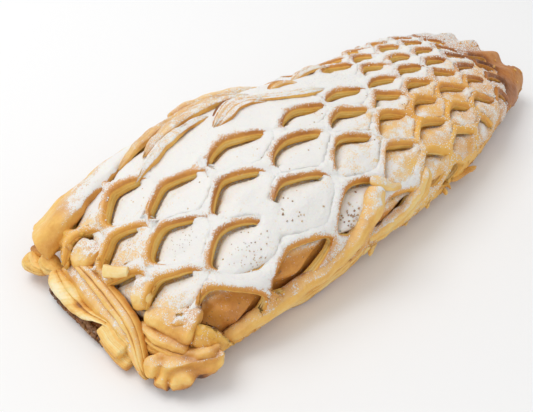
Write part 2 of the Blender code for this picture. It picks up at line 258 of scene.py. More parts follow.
@dataclass
class Loaf:
    """The form of the loaf: a section that changes along it, read from tables.

    A place on it is x along the loaf and s, the distance over the surface from the crest,
    positive towards the -Y side.
    """

    length: float = 0.2694
    left_half: float = 0.0420
    right_half: float = 0.0540
    height: float = 0.0480
    belly: float = 0.020
    tuck: float = 0.008
    roundness: float = 2.2
    drift: float = -0.040
    near_loss: tuple = (0.11, 0.17, 0.80)
    far_loss: tuple = (0.33, 0.42, 0.64)
    near_power: float = 2.9
    far_power: float = 2.1
    waist: tuple = (0.029, 0.047)
    waist_left: float = 0.20
    waist_dip: float = 0.15
    hem_height: float = 0.0075
    steps: int = 120
    x_reach: float = 0.150
    s_reach: float = 0.092
    x_steps: int = 300
    s_steps: int = 368

    def shrink(self, x: np.ndarray, which: int) -> np.ndarray:
        """Share of a size that is left at x, as the loaf shrinks to both ends.

        Args:
            x: places along the loaf.
            which: 0 for the +Y half width, 1 for the -Y one, 2 for the height.

        Returns:
            A share for each place.
        """
        end = np.minimum(np.abs(x) / (self.length / 2), 1.0)
        near = 1 - self.near_loss[which] * end ** self.near_power
        far = 1 - self.far_loss[which] * end ** self.far_power
        return np.where(x < 0, near, far)

    def sizes(self, x: np.ndarray) -> tuple:
        """Half width on the +Y side, half width on the -Y side, and height at x.

        Args:
            x: places along the loaf.

        Returns:
            The three sizes, each with a number for each place.
        """
        waist = bump(x, *self.waist)
        left = self.left_half * self.shrink(x, 0) * (1 - self.waist_left * waist)
        right = self.right_half * self.shrink(x, 1)
        height = self.height * self.shrink(x, 2) * (1 - self.waist_dip * waist)
        return left, right, height

    def section(self, x: float) -> tuple:
        """Arc lengths, y and z of the outline at x, from one floor edge to the other.

        Args:
            x: the place along the loaf.

        Returns:
            The three rows of numbers.
        """
        left, right, height = (float(size) for size in self.sizes(np.array(x)))
        belly = min(self.belly, 0.5 * height)
        low = np.linspace(math.pi / 2, 0, self.steps)[:-1]
        top = np.linspace(0, math.pi / 2, self.steps)
        z = np.concatenate([belly * (1 - np.sin(low)),
                            belly + (height - belly) * np.sin(top) ** (2 / self.roundness)])
        sides = [np.concatenate([half - self.tuck * (1 - np.cos(low)),
                                 half * np.cos(top) ** (2 / self.roundness)])
                 for half in (left, right)]
        y = np.concatenate([sides[0], -sides[1][-2::-1]]) + self.drift * x
        z = np.concatenate([z, z[-2::-1]])
        arc = np.concatenate([[0], np.cumsum(np.hypot(np.diff(y), np.diff(z)))])
        return arc - arc[len(sides[0]) - 1], y, z

    @cached_property
    def shift(self) -> np.ndarray:
        """From the loaf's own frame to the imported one, by the middle of the bottom crust.

        Returns:
            The move, as x, y and z.
        """
        low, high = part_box(Node.BASE.value)
        x = np.linspace(-self.length / 2, self.length / 2, 200)
        left, right, _ = self.sizes(x)
        widest = [(left + self.drift * x).max(), (self.drift * x - right).min()]
        return np.array([(low.x + high.x) / 2, (low.y + high.y - sum(widest)) / 2, low.z])

    @cached_property
    def tables(self) -> dict:
        """The surface sampled on a grid of x and s, with the way it faces.

        Returns:
            The grid's x and s, its y, z and facing, and the distances to both hems.
        """
        x = np.linspace(-self.x_reach, self.x_reach, self.x_steps + 1)
        s = np.linspace(-self.s_reach, self.s_reach, self.s_steps + 1)
        y, z = np.empty((2, len(x), len(s)))
        hems = np.empty((len(x), 2))
        inside = np.clip(x, -self.length / 2, self.length / 2)
        for i, (place, kept) in enumerate(zip(x, inside)):
            arc, side, up = self.section(place)
            y[i], z[i] = np.interp(s, arc, side), np.interp(s, arc, up)
            arc, _, up = self.section(kept)
            middle = len(arc) // 2
            hems[i] = (np.interp(self.hem_height, up[:middle], arc[:middle]),
                       np.interp(self.hem_height, up[:middle:-1], arc[:middle:-1]))
        y_x, y_s = np.gradient(y, x, s)
        z_x, z_s = np.gradient(z, x, s)
        face = np.stack([y_s * z_x - z_s * y_x, z_s, -y_s], axis=-1)
        face /= np.maximum(np.linalg.norm(face, axis=-1, keepdims=True), 1e-9)
        return {"x": x, "s": s, "grid": np.concatenate([y[..., None], z[..., None], face], -1),
                "hems": hems}

    def read(self, x: np.ndarray, s: np.ndarray) -> np.ndarray:
        """y, z and facing at each place, between the table's entries.

        Args:
            x: places along the loaf.
            s: distances from the crest.

        Returns:
            A row of five numbers for each place.
        """
        table = self.tables
        i = np.clip((x - table["x"][0]) / (table["x"][1] - table["x"][0]), 0,
                    self.x_steps - 0.001)
        j = np.clip((s - table["s"][0]) / (table["s"][1] - table["s"][0]), 0,
                    self.s_steps - 0.001)
        i0, j0 = i.astype(int), j.astype(int)
        u, v = (i - i0)[:, None], (j - j0)[:, None]
        grid = table["grid"]
        return ((grid[i0, j0] * (1 - u) + grid[i0 + 1, j0] * u) * (1 - v)
                + (grid[i0, j0 + 1] * (1 - u) + grid[i0 + 1, j0 + 1] * u) * v)

    def lift(self, x: np.ndarray, s: np.ndarray, height: np.ndarray) -> np.ndarray:
        """Points at heights over the surface, square to it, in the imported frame.

        Args:
            x: places along the loaf.
            s: distances from the crest.
            height: heights over the surface.

        Returns:
            A row of coordinates for each place.
        """
        found = self.read(x, s)
        face = found[:, 2:5] / np.linalg.norm(found[:, 2:5], axis=1, keepdims=True)
        flat = np.stack([x, found[:, 0], found[:, 1]], axis=1)
        return flat + face * np.asarray(height)[:, None] + self.shift

    def hem(self, x: np.ndarray, s: np.ndarray) -> np.ndarray:
        """Distance from the crest to the sheet's long edge on the side that s lies on.

        Args:
            x: places along the loaf.
            s: distances from the crest.

        Returns:
            A distance for each place, negative on the +Y side.
        """
        table = self.tables
        left = -np.interp(x, table["x"], table["hems"][:, 0])
        right = np.interp(x, table["x"], table["hems"][:, 1])
        return np.where(s > 0, right, left)

    def bare(self, x: np.ndarray, s: np.ndarray) -> np.ndarray:
        """Where the steep -Y side of the parcel lies open, deep and unsugared, from 0 to 1."""
        start = np.minimum(0.0425 + 0.30 * (x + 0.1015), 0.062)
        return ramp01(-0.003, 0.003, s - start)

    def share(self, x: np.ndarray, s: np.ndarray) -> np.ndarray:
        """How far s is from the crest, as a share of the way to the sheet's long edge."""
        return s / self.hem(x, s)


# ---- the slit sheet laid flat

@dataclass(frozen=True)
class Window:
    """How one window differs from the usual one, in parts of a cell."""

    length: float = 1.0
    width: float = 1.0
    along: float = 0.0
    aside: float = 0.0


@dataclass
class SlitSheet:
    """The upper sheet laid flat: strands run along p and q, a window in each cell between."""

    loaf: Loaf
    first_x: float = -0.0881
    first_s: float = 0.0034
    pitch: tuple = (0.0192, 0.0333, 1.45, 2.17)
    row: tuple = (0.0109, 0.0173, 0.57, 1.9)
    row_drift: float = 0.0015
    column_drift: float = 0.00055
    hem_rows: float = 0.62
    cells: range = range(-10, 16)
    around: int = 36
    across: int = 5
    crowding: float = 1.5
    tips: float = 0.690
    shoulders: float = 0.392
    sides: float = 0.385
    rounding: int = 5
    unevenness: float = 0.07
    wander: float = 0.0019
    pulled: dict = field(default_factory=lambda: {
        (1, -2): Window(1.30, 1.25, -0.16, -0.08), (2, -1): Window(1.26, 0.88, -0.04, -0.03),
        (2, 0): Window(1.10, 1.02, -0.07, 0.03), (1, -1): Window(1.06, 1.10, 0.0, -0.02),
        (1, 1): Window(1.08, 0.92, -0.05, 0.0), (1, 0): Window(1.04, 0.95, -0.02, -0.01),
        (2, 1): Window(1.05, 0.95, -0.04, 0.0),
        (1, 2): Window(0.9, 0.6, 0.0, 0.0), (3, 2): Window(1.0, 0.8, 0.0, 0.0),
        (-1, 0): Window(1.0, 1.1, 0.0, -0.05), (2, 2): Window(1.0, 0.6, 0.04, -0.08),
        (0, 0): Window(1.1, 1.0, -0.03, 0.0), (3, 3): Window(1.05, 0.8, 0.0, 0.05)})
    whole_from: float = 0.1135
    closed: frozenset = frozenset({(0, 1), (0, 2), (1, 2), (1, 3), (2, 3), (2, 4), (3, 4)})

    @staticmethod
    def bell(u: np.ndarray, least: float, most: float, peak: float, spread: float) -> np.ndarray:
        """A pitch that is widest where the dough was pulled open most."""
        return least + (most - least) * bump(u, peak, spread)

    def column(self, u: np.ndarray) -> np.ndarray:
        """Place of a column along the loaf: the pitches up to it, added together.

        Args:
            u: numbers of columns.

        Returns:
            A place along the loaf for each.
        """
        least, most, peak, spread = self.pitch
        swing = (most - least) * spread * math.sqrt(math.pi) / 2
        erf = np.vectorize(math.erf, otypes=[float])
        return self.first_x + least * u + swing * (
            erf((u - peak) / spread) + math.erf(peak / spread))

    def place(self, p: np.ndarray, q: np.ndarray) -> tuple:
        """Places on the loaf, x and s, of points of the flat sheet.

        Args:
            p: numbers one way.
            q: numbers the other way.

        Returns:
            x and s for each point.
        """
        column, row = (p + q) / 2, p - q
        x = self.column(column) + self.column_drift * column * row
        s = self.first_s + self.row_drift * column + row * self.bell(column, *self.row)
        return x, s

    def is_cut(self, p: int, q: int) -> bool:
        """Whether a cell is opened: the hems and a patch along the back are left whole.

        Args:
            p: the cell's number one way.
            q: its number the other way.

        Returns:
            True where it has a window.
        """
        x, s = self.place(np.array([float(p)]), np.array([float(q)]))
        if (p, q) in self.closed or x[0] > self.whole_from:
            return False
        row = self.bell(np.array([(p + q) / 2]), *self.row)
        return bool(np.abs(self.loaf.share(x, s + np.sign(s) * row * self.hem_rows))[0] < 1)

    def is_on(self, p: int, q: int) -> bool:
        """Whether a cell lies on the loaf at all, with some to spare for trimming."""
        x, s = self.place(np.array([float(p)]), np.array([float(q)]))
        return bool(abs(x[0]) < self.loaf.length * 0.56 and abs(self.loaf.share(x, s)[0]) < 1.3)

    def angles(self) -> np.ndarray:
        """The directions in which a cell's edge and its window's edge are marked."""
        return math.tau * (np.arange(self.around) / self.around) + math.pi / 4

    def cell_edge(self) -> np.ndarray:
        """A cell's square edge round its middle, as complex numbers."""
        ray = np.exp(1j * self.angles())
        return 0.5 * ray / np.maximum(np.abs(ray.real), np.abs(ray.imag))

    def window_edge(self, p: int, q: int) -> np.ndarray:
        """A window's rounded edge round its cell's middle, as complex numbers.

        Args:
            p: the cell's number one way.
            q: its number the other way.

        Returns:
            A point for each marked direction.
        """
        dice = np.random.default_rng(1000 + 37 * p + q)
        corner = np.array([self.tips, self.sides, self.shoulders, self.sides] * 2)
        corner *= 1 + dice.uniform(-self.unevenness, self.unevenness, 8)
        turn = math.pi / 4 * (np.arange(9) + 1)
        points = np.append(corner, corner[0]) * np.exp(1j * turn)
        steps = np.linspace(0, 8, self.around + 1)[:-1]
        ring = np.interp(steps, range(9), points.real) + 1j * np.interp(steps, range(9), points.imag)
        for _ in range(self.rounding):
            ring = (np.roll(ring, 1) + 2 * ring + np.roll(ring, -1)) / 4
        window = self.pulled.get((p, q), Window())
        lean = np.exp(1j * math.pi / 4)
        upright = ring / lean
        upright = (upright.real * window.length + window.along
                   + 1j * (upright.imag * window.width + window.aside))
        return upright * lean

    def lay_out(self) -> bmesh.types.BMesh:
        """The sheet's upper skin, laid flat: vertices hold x and s, and no height.

        Returns:
            The open, flat skin.
        """
        bm = bmesh.new()
        edge = self.cell_edge()
        for p in self.cells:
            for q in self.cells:
                if self.is_on(p, q):
                    rings = self.rings(p, q, edge)
                    self.lay_patch(bm, complex(p, q), rings)
        bmesh.ops.remove_doubles(bm, verts=bm.verts, dist=2e-6)
        return bm

    def rings(self, p: int, q: int, edge: np.ndarray) -> list:
        """Rings of a cell from its edge inwards: to its window, or to its middle where uncut.

        Args:
            p: the cell's number one way.
            q: its number the other way.
            edge: the cell's edge.

        Returns:
            Rings of complex numbers.
        """
        if self.is_cut(p, q):
            inner = self.window_edge(p, q)
            shares = 1 - np.linspace(1, 0, self.across + 1) ** self.crowding
        else:
            inner, shares = edge * 0.02, np.linspace(0, 1, self.across + 3)
        return [edge + (inner - edge) * share for share in shares]

    def lay_patch(self, bm: bmesh.types.BMesh, middle: complex, rings: list) -> None:
        """Lay a ring-shaped patch of faces between a cell's rings.

        Args:
            bm: the sheet so far.
            middle: the cell's middle.
            rings: rings from its edge inwards.
        """
        count = len(rings) - 1
        made = bmesh.ops.create_grid(bm, x_segments=self.around, y_segments=count, size=0.5)
        verts = made["verts"]
        where = np.array([vert.co[:2] for vert in verts])
        turn = np.rint((where[:, 0] + 0.5) * self.around).astype(int) % self.around
        level = np.rint((where[:, 1] + 0.5) * count).astype(int)
        flat = np.array(rings)[level, turn] + middle
        x, s = self.place(flat.real, flat.imag)
        stray = np.stack([flat.real, flat.imag, np.zeros(len(flat))], axis=1)
        x = x + self.wander * rough(stray, 0.7, 1.0)
        s = s + self.wander * rough(stray, 0.7, 2.0)
        for vert, a, b in zip(verts, x, s):
            vert.co = (a, b, 0)
        if level.max() == count and abs(rings[-1]).max() < 0.05:
            core = [vert for vert, ring in zip(verts, level) if ring == count]
            bmesh.ops.pointmerge(bm, verts=core, merge_co=core[0].co.copy())


# ---- the lattice crust

@dataclass
class LatticeCrust:
    """The upper sheet, puffed and bent over the loaf, with layered walls round its windows."""

    loaf: Loaf
    sheet: SlitSheet
    thickness: float = 0.0049
    brow: float = 0.0026
    brow_reach: float = 0.0034
    lean: tuple = (0.40, 0.92)
    twist: float = 0.44
    twist_reach: float = 0.0034
    sink_reach: float = 0.0054
    stray_ends: float = 0.0030
    bump_height: float = 0.0024
    bump_out: float = 0.0022
    bump_gap: float = 0.0165
    sunk: tuple = ((1.5, -0.5, 0.0065, 0.72),)
    near_edge: float = -0.1265
    near_slant: float = 0.0083
    far_edge: float = 0.1335
    corner: tuple = (0.0175, 0.30)
    hem_wave: float = 0.03
    lip: float = 0.0004
    wall_rings: int = 8
    layers: float = 2.5
    layer_relief: float = 0.00022
    order_marks: tuple = (100.0, 61.8, 314.1, 2.7)
    puffs: tuple = ((0.00030, 0.0060, 1.0), (0.00014, 0.0022, 2.0))
    strands: KDTree = None
    rims: list = field(default_factory=list)

    def trim(self, bm: bmesh.types.BMesh, place: Sequence[float], outward: Sequence[float]) -> None:
        """Cut the flat sheet along a line and drop what lies beyond it."""
        bmesh.ops.bisect_plane(bm, geom=[*bm.verts, *bm.edges, *bm.faces], dist=1e-6,
                               plane_co=place, plane_no=outward, clear_outer=True)

    def wave(self, x: np.ndarray) -> np.ndarray:
        """How uneven the sheet's long edges are, as a share of their distance."""
        along = np.stack([x, 0 * x, 0 * x], axis=1)
        return 1 + self.hem_wave * rough(along, 0.014, 4.0)

    def trimmed(self) -> bmesh.types.BMesh:
        """The flat upper skin, trimmed at both ends and along both hems.

        Returns:
            The flat skin, whose vertices hold x and s.
        """
        bm = self.sheet.lay_out()
        flat = np.array([vert.co for vert in bm.verts])
        share = self.loaf.share(flat[:, 0], flat[:, 1]) * self.wave(flat[:, 0])
        for vert, part in zip(bm.verts, share):
            vert.co.y = part
        self.trim(bm, (0, 1, 0), (0, 1, 0))
        self.trim(bm, (0, -1, 0), (0, -1, 0))
        self.shift_ends(bm, -1)
        self.trim(bm, (self.near_edge, 0, 0), (-1, self.near_slant, 0))
        self.shift_ends(bm, 1)
        self.trim(bm, (self.far_edge, 0, 0), (1, 0, 0))
        run, rise = self.corner
        self.trim(bm, (self.near_edge - self.near_slant, rise - 1, 0), (-rise, -run, 0))
        flat = np.array([vert.co for vert in bm.verts])
        s = flat[:, 1] / self.wave(flat[:, 0])
        s = s * self.loaf.hem(flat[:, 0], s)
        for vert, part in zip(bm.verts, s):
            vert.co.y = part
        bmesh.ops.dissolve_degenerate(bm, dist=4e-5, edges=bm.edges)
        loose = [vert for vert in bm.verts if not vert.link_faces]
        bmesh.ops.delete(bm, geom=loose, context="VERTS")
        return bm

    def shift_ends(self, bm: bmesh.types.BMesh, way: float) -> None:
        """Draw the strands' near ends back and forth, so that they are cut to uneven lengths.

        Args:
            bm: the flat skin.
            way: -1 to draw them, 1 to put them back.
        """
        flat = np.array([vert.co for vert in bm.verts])
        stray = rough(flat * (0, 1, 0), 0.14, 8.0) * self.stray_ends
        for vert, along in zip(bm.verts, stray * (flat[:, 0] < -0.09)):
            vert.co.x += way * along

    @staticmethod
    def outward(bm: bmesh.types.BMesh) -> dict:
        """For each vertex on an edge of the flat skin, the flat direction that leaves the dough.

        Args:
            bm: the flat skin.

        Returns:
            A direction for each vertex on an edge.
        """
        found = {}
        for edge in bm.edges:
            if len(edge.link_faces) != 1:
                continue
            middle = (edge.verts[0].co + edge.verts[1].co) / 2
            along = edge.verts[1].co - edge.verts[0].co
            away = Vector((along.y, -along.x, 0)).normalized()
            if away.dot(middle - edge.link_faces[0].calc_center_median()) < 0:
                away.negate()
            for vert in edge.verts:
                found[vert] = found.get(vert, Vector((0, 0, 0))) + away
        return {vert: away.normalized() for vert, away in found.items()}

    def wall_profile(self) -> list:
        """The wall from the rim down: how far out, and how high as a share of the thickness.

        Returns:
            Pairs of a distance and a share.
        """
        profile = [(self.lip * 0.62, 0.955), (self.lip, 0.87)]
        for k in range(self.wall_rings):
            share = (k + 1) / self.wall_rings
            relief = self.layer_relief * math.sin(math.tau * self.layers * share)
            profile.append((self.lip * (1 - 0.75 * share) + relief, 0.87 - 0.80 * share))
        return profile + [(0.0, 0.0)]

    def grow_walls(self, bm: bmesh.types.BMesh) -> None:
        """Draw the walls down from every edge of the flat skin and close the underside.

        The height of each vertex is kept as a share of the thickness in the rise layer.

        Args:
            bm: the flat skin, which becomes a closed sheet.
        """
        rise = bm.verts.layers.float.new("rise")
        wall = bm.verts.layers.float.new("wall")
        skin = list(bm.faces)
        for vert in bm.verts:
            vert[rise] = 1.0
        under = bmesh.ops.duplicate(bm, geom=[*bm.verts, *bm.edges, *skin])["geom"]
        for item in under:
            if isinstance(item, bmesh.types.BMVert):
                item[rise] = 0.0
                item.co.z = -1.0
        away = {vert: way for vert, way in self.outward(bm).items() if vert[rise] == 1.0}
        rims = {vert: vert.co.copy() for vert in away}
        loop = [edge for edge in bm.edges if len(edge.link_faces) == 1
                and all(vert in away for vert in edge.verts)]
        for out, high in self.wall_profile():
            grown = bmesh.ops.extrude_edge_only(bm, edges=loop)["geom"]
            fresh = {item for item in grown if isinstance(item, bmesh.types.BMVert)}
            loop = [item for item in grown if isinstance(item, bmesh.types.BMEdge)
                    and all(vert in fresh for vert in item.verts)]
            for vert in list(away):
                below = next((edge.other_vert(vert) for edge in vert.link_edges
                              if edge.other_vert(vert) in fresh), None)
                if below is None:
                    continue
                away[below], rims[below] = away.pop(vert), rims.pop(vert)
                below.co = rims[below] + away[below] * out
                below[rise], below[wall] = high, 1.0
                if high == 0.0:
                    below.co.z, below[wall] = -1.0, 0.0
        bmesh.ops.remove_doubles(bm, verts=bm.verts, dist=1e-7)
        for vert in bm.verts:
            vert.co.z = 0.0

    def tipped(self, inset: np.ndarray, facing: np.ndarray, s: np.ndarray) -> np.ndarray:
        """How the strands tip: the rim towards -Y lifts and the other one sinks, as a factor.

        Args:
            inset: distances from the nearest rim.
            facing: how much that rim faces -Y.
            s: distances from the crest.

        Returns:
            A factor of the thickness.
        """
        calm = 1 - 0.8 * ramp01(0.040, 0.055, s)
        reach = np.where(facing > 0, self.twist_reach, self.sink_reach)
        return 1 + self.twist * facing * calm * np.exp(-inset / reach)

    def rolled(self, inset: np.ndarray, facing: np.ndarray) -> np.ndarray:
        """How far a rim rounds down, most where it faces -Y."""
        share = np.clip(1 - inset / self.brow_reach, 0, 1)
        return self.brow * (0.62 + 0.38 * facing) * (1 - np.sqrt(np.maximum(1 - share ** 2, 0)))

    def sinking(self, x: np.ndarray, s: np.ndarray) -> np.ndarray:
        """What is left of the thickness where a crossing has broken down into the filling.

        Args:
            x: places along the loaf.
            s: distances from the crest.

        Returns:
            A share for each place.
        """
        left = np.ones_like(x)
        for p, q, reach, depth in self.sunk:
            a, b = self.sheet.place(np.array([p]), np.array([q]))
            left *= 1 - depth * np.exp(-((x - a) ** 2 + (s - b) ** 2) / reach ** 2)
        return left

    def far_bumps(self, x: np.ndarray, s: np.ndarray) -> tuple:
        """How far the strands' ends puff up and out at the far edge.

        Args:
            x: places along the loaf.
            s: distances from the crest.

        Returns:
            Heights, and distances along the loaf.
        """
        swing = np.cos(s * math.tau / self.bump_gap + 1.4 * np.sin(s * 45)) * 0.5 + 0.5
        return (self.bump_height * swing * ramp01(0.108, 0.127, x),
                self.bump_out * swing * ramp01(0.118, self.far_edge, x))

    def body(self, x: np.ndarray, s: np.ndarray) -> np.ndarray:
        """Thickness of the sheet at each place: fatter at the near hems, thinner far away.

        Args:
            x: places along the loaf.
            s: distances from the crest.

        Returns:
            A thickness for each place.
        """
        share = self.loaf.share(x, s)
        fat = 1 + 0.10 * ramp01(-0.6, -0.95, share) * ramp01(-0.085, -0.112, x)
        fat += 0.18 * ramp01(-0.085, -0.115, x) - 0.25 * ramp01(0.03, 0.10, x)
        flat = np.stack([x, s, 0 * x], axis=1)
        return self.thickness * fat * (1 + 0.16 * rough(flat, 0.015, 6.0)) * self.sinking(x, s)

    def build(self) -> bpy.types.Mesh:
        """The whole crust as one closed mesh, with the numbers that its finish reads.

        Returns:
            The mesh, with rise, wall, inset, facing, x_place, s_place and order.
        """
        bm = self.trimmed()
        self.strands = finder([vert.co for vert in bm.verts])
        rims = [(vert.co.copy(), away.x * self.lean[0] + away.y * self.lean[1])
                for vert, away in self.outward(bm).items()]
        self.rims = rims
        tree = finder([place for place, _ in rims])
        self.grow_walls(bm)
        mesh = finish_mesh("lattice_crust", bm)
        flat = coordinates(mesh)
        rise, wall = fetch(mesh, "rise"), fetch(mesh, "wall")
        nearest = [tree.find(point) for point in flat]
        inset = np.array([found[2] for found in nearest])
        facing = np.array([rims[found[1]][1] for found in nearest])
        inset = np.where(wall > 0.5, 0.0, inset)
        x, s = flat[:, 0], flat[:, 1]
        height = self.body(x, s) * self.tipped(inset, facing, s) - self.rolled(inset, facing)
        puffed, pushed = self.far_bumps(x, s)
        height = height * rise + puffed
        mesh_points = self.loaf.lift(x, s, height) + pushed[:, None] * (1, 0, 0)
        move_to(mesh, mesh_points)
        bm = bmesh.new()
        bm.from_mesh(mesh)
        if bm.calc_volume(signed=True) < 0:
            mesh.flip_normals()
        bm.free()
        first, along, aside, up = self.order_marks
        store(mesh, rise=rise, wall=wall, inset=inset, facing=facing, x_place=x, s_place=s,
              order=wall * (first + along * x + aside * s + up * rise))
        points, facing = coordinates(mesh), normals(mesh)
        puff = sum(high * rough(points, size, seed) for high, size, seed in self.puffs)
        move_to(mesh, points + facing * (puff * (rise > 0.05))[:, None])
        return mesh


# ---- closed tubes and sweeps

def tube(rings: np.ndarray) -> bmesh.types.BMesh:
    """A closed shape skinned over a row of rings, with both ends filled.

    Args:
        rings: an array of rings by points by 3 coordinates.

    Returns:
        The shape, its vertices numbered by ring and point in the layers ring and spot.
    """
    count, around = rings.shape[:2]
    bm = bmesh.new()
    ring_layer = bm.verts.layers.float.new("ring")
    spot_layer = bm.verts.layers.float.new("spot")
    made = bmesh.ops.create_grid(bm, x_segments=around, y_segments=count - 1, size=0.5)["verts"]
    where = np.array([vert.co[:2] for vert in made])
    spot = np.rint((where[:, 0] + 0.5) * around).astype(int) % around
    level = np.rint((where[:, 1] + 0.5) * (count - 1)).astype(int)
    for vert, point, ring, turn in zip(made, rings[level, spot], level, spot):
        vert.co = point
        vert[ring_layer], vert[spot_layer] = ring / (count - 1), turn / around
    bmesh.ops.remove_doubles(bm, verts=bm.verts, dist=1e-8)
    open_edges = [edge for edge in bm.edges if len(edge.link_faces) == 1]
    bmesh.ops.holes_fill(bm, edges=open_edges, sides=0)
    return bm


def smooth_path(points: Sequence, steps: int) -> np.ndarray:
    """Read evenly shared points from a smooth curve through a few given ones.

    Args:
        points: the rows that it runs through.
        steps: how many rows to read.

    Returns:
        The rows.
    """
    knots = np.array(points, float)
    padded = np.vstack([2 * knots[0] - knots[1], knots, 2 * knots[-1] - knots[-2]])
    place = np.linspace(0, len(knots) - 1, steps)
    i = np.minimum(place.astype(int), len(knots) - 2)
    t = (place - i)[:, None]
    a, b, c, d = (padded[i + k] for k in range(4))
    return 0.5 * (2 * b + (c - a) * t + (2 * a - 5 * b + 4 * c - d) * t ** 2
                  + (3 * b - 3 * c + d - a) * t ** 3)


# ---- inner parcel

@dataclass
class Parcel:
    """The filled parcel, whose pastry swells up a little in every window."""

    loaf: Loaf
    near: float = -0.1245
    far: float = 0.1300
    foot: float = 0.0058
    drop: float = 0.0009
    brim: float = 0.0040
    swell: float = 0.0013
    swell_reach: float = 0.0055
    side_drop: float = 0.0018
    side_swell: float = 0.0034
    side_reach: float = 0.004
    rim_behind: float = 0.45
    rim_ahead: float = -0.15
    clearance: float = 0.0008
    edge: float = 0.0002
    share: np.ndarray = None
    stations: int = 330
    over: int = 150
    under: int = 16

    def ring_places(self, x: float) -> np.ndarray:
        """Distances from the crest of a ring's points, from foot to foot over the top.

        Args:
            x: the ring's place along the loaf.

        Returns:
            A distance for each point.
        """
        arc, _, z = self.loaf.section(float(x))
        above = arc[z > self.foot]
        return np.linspace(above[0], above[-1], self.over)

    @staticmethod
    def distances(places: np.ndarray, goals: list) -> np.ndarray:
        """Distance from each flat place to the nearest of some goals."""
        tree = finder(goals)
        return np.array([tree.find(place)[2] for place in places])

    @staticmethod
    def brimful(x: np.ndarray, s: np.ndarray) -> np.ndarray:
        """Where sugar and swollen pastry all but close the windows, along the back."""
        return 0.62 * ramp01(-0.010, -0.020, s) * ramp01(-0.080, -0.066, x) * ramp01(0.02, 0.0, x)

    def filling(self, flat: np.ndarray, open_by: np.ndarray, rims: list) -> np.ndarray:
        """How high the pastry stands: low under the strand behind, brimful at the one in front.

        Args:
            flat: places on the flat sheet.
            open_by: distance of each from the nearest strand.
            rims: places on the strands' rims, each with how much it faces -Y.

        Returns:
            A height over the loaf's surface for each place.
        """
        behind = self.distances(flat, [place for place, facing in rims if facing > self.rim_behind])
        ahead = self.distances(flat, [place for place, facing in rims if facing < self.rim_ahead])
        share = behind / (behind + ahead)
        self.share = share
        opened = np.sin(share * math.pi / 2) ** 0.8
        hidden = (behind > ahead) * ramp01(0.0062, 0.0030, ahead)
        opened = opened + (1 - opened) * self.brimful(flat[:, 0], flat[:, 1])
        over = ramp01(self.edge, 0.0012, open_by)
        level = self.drop + self.brim * (1 - 0.6 * ramp01(0.092, 0.106, flat[:, 0]))
        swell = self.swell * (1 - np.exp(-(open_by / self.swell_reach) ** 2))
        inside = level * opened + swell
        return -self.drop + np.where(open_by > self.edge,
                                     inside * over + level * (1 - over) * hidden, level * hidden)

    def build(self, crust: LatticeCrust) -> bpy.types.Mesh:
        """The parcel as one closed mesh.

        Args:
            crust: the built lattice, so that the pastry swells up between its strands.

        Returns:
            The mesh, with x_place, s_place and inset for its finish.
        """
        share = np.linspace(0, 1, self.stations)
        xs = self.near + (self.far - self.near) * (0.5 - 0.5 * np.cos(math.pi * share))
        places = np.array([self.ring_places(x) for x in xs])
        x = np.repeat(xs, self.over)
        s = places.ravel()
        open_by = np.array([crust.strands.find((a, b, 0))[2] for a, b in zip(x, s)])
        open_by = np.maximum(open_by - self.clearance, 0)
        flat = np.stack([x, s, 0 * x], axis=1)
        bare = self.loaf.bare(x, s)
        full = self.filling(flat, open_by, crust.rims)
        deep = self.side_swell * (1 - np.exp(-(open_by / self.side_reach) ** 2)) - self.side_drop
        height = full * (1 - bare) + deep * bare + 0.0005 * rough(flat, 0.008, 11.0)
        top = self.loaf.lift(x, s, height).reshape(self.stations, self.over, 3)
        top[..., 2] = np.maximum(top[..., 2], self.foot + self.loaf.shift[2])
        blend = np.linspace(0, 1, self.under + 2)[1:-1, None]
        under = top[:, -1:, :] * (1 - blend) + top[:, :1, :] * blend
        under[..., 2] = self.foot + self.loaf.shift[2]
        rings = np.concatenate([top, under], axis=1)
        end = np.abs(2 * share - 1)
        size = (np.maximum(1 - end ** 12, 0) ** 0.35 * 0.85 + 0.15)[:, None, None]
        middle = np.stack([xs, self.loaf.drift * xs, 0 * xs + 0.4 * self.foot], axis=1)
        middle = (middle + self.loaf.shift)[:, None]
        rings = middle + (rings - middle) * size
        mesh = finish_mesh("inner_parcel", tube(rings))
        around = self.over + self.under
        spot = np.rint(fetch(mesh, "spot") * around).astype(int)
        ring = np.rint(fetch(mesh, "ring") * (self.stations - 1)).astype(int)
        on_top = spot < self.over
        at = (ring, np.minimum(spot, self.over - 1))
        opened, share = (row.reshape(self.stations, self.over) for row in (open_by, self.share))
        store(mesh, x_place=xs[ring], s_place=np.where(on_top, places[at], 0.08),
              inset=np.where(on_top, opened[at], 0), in_front=share[at], rise=on_top * 1.0,
              wall=0.0 * spot)
        return mesh


# ---- bottom crust

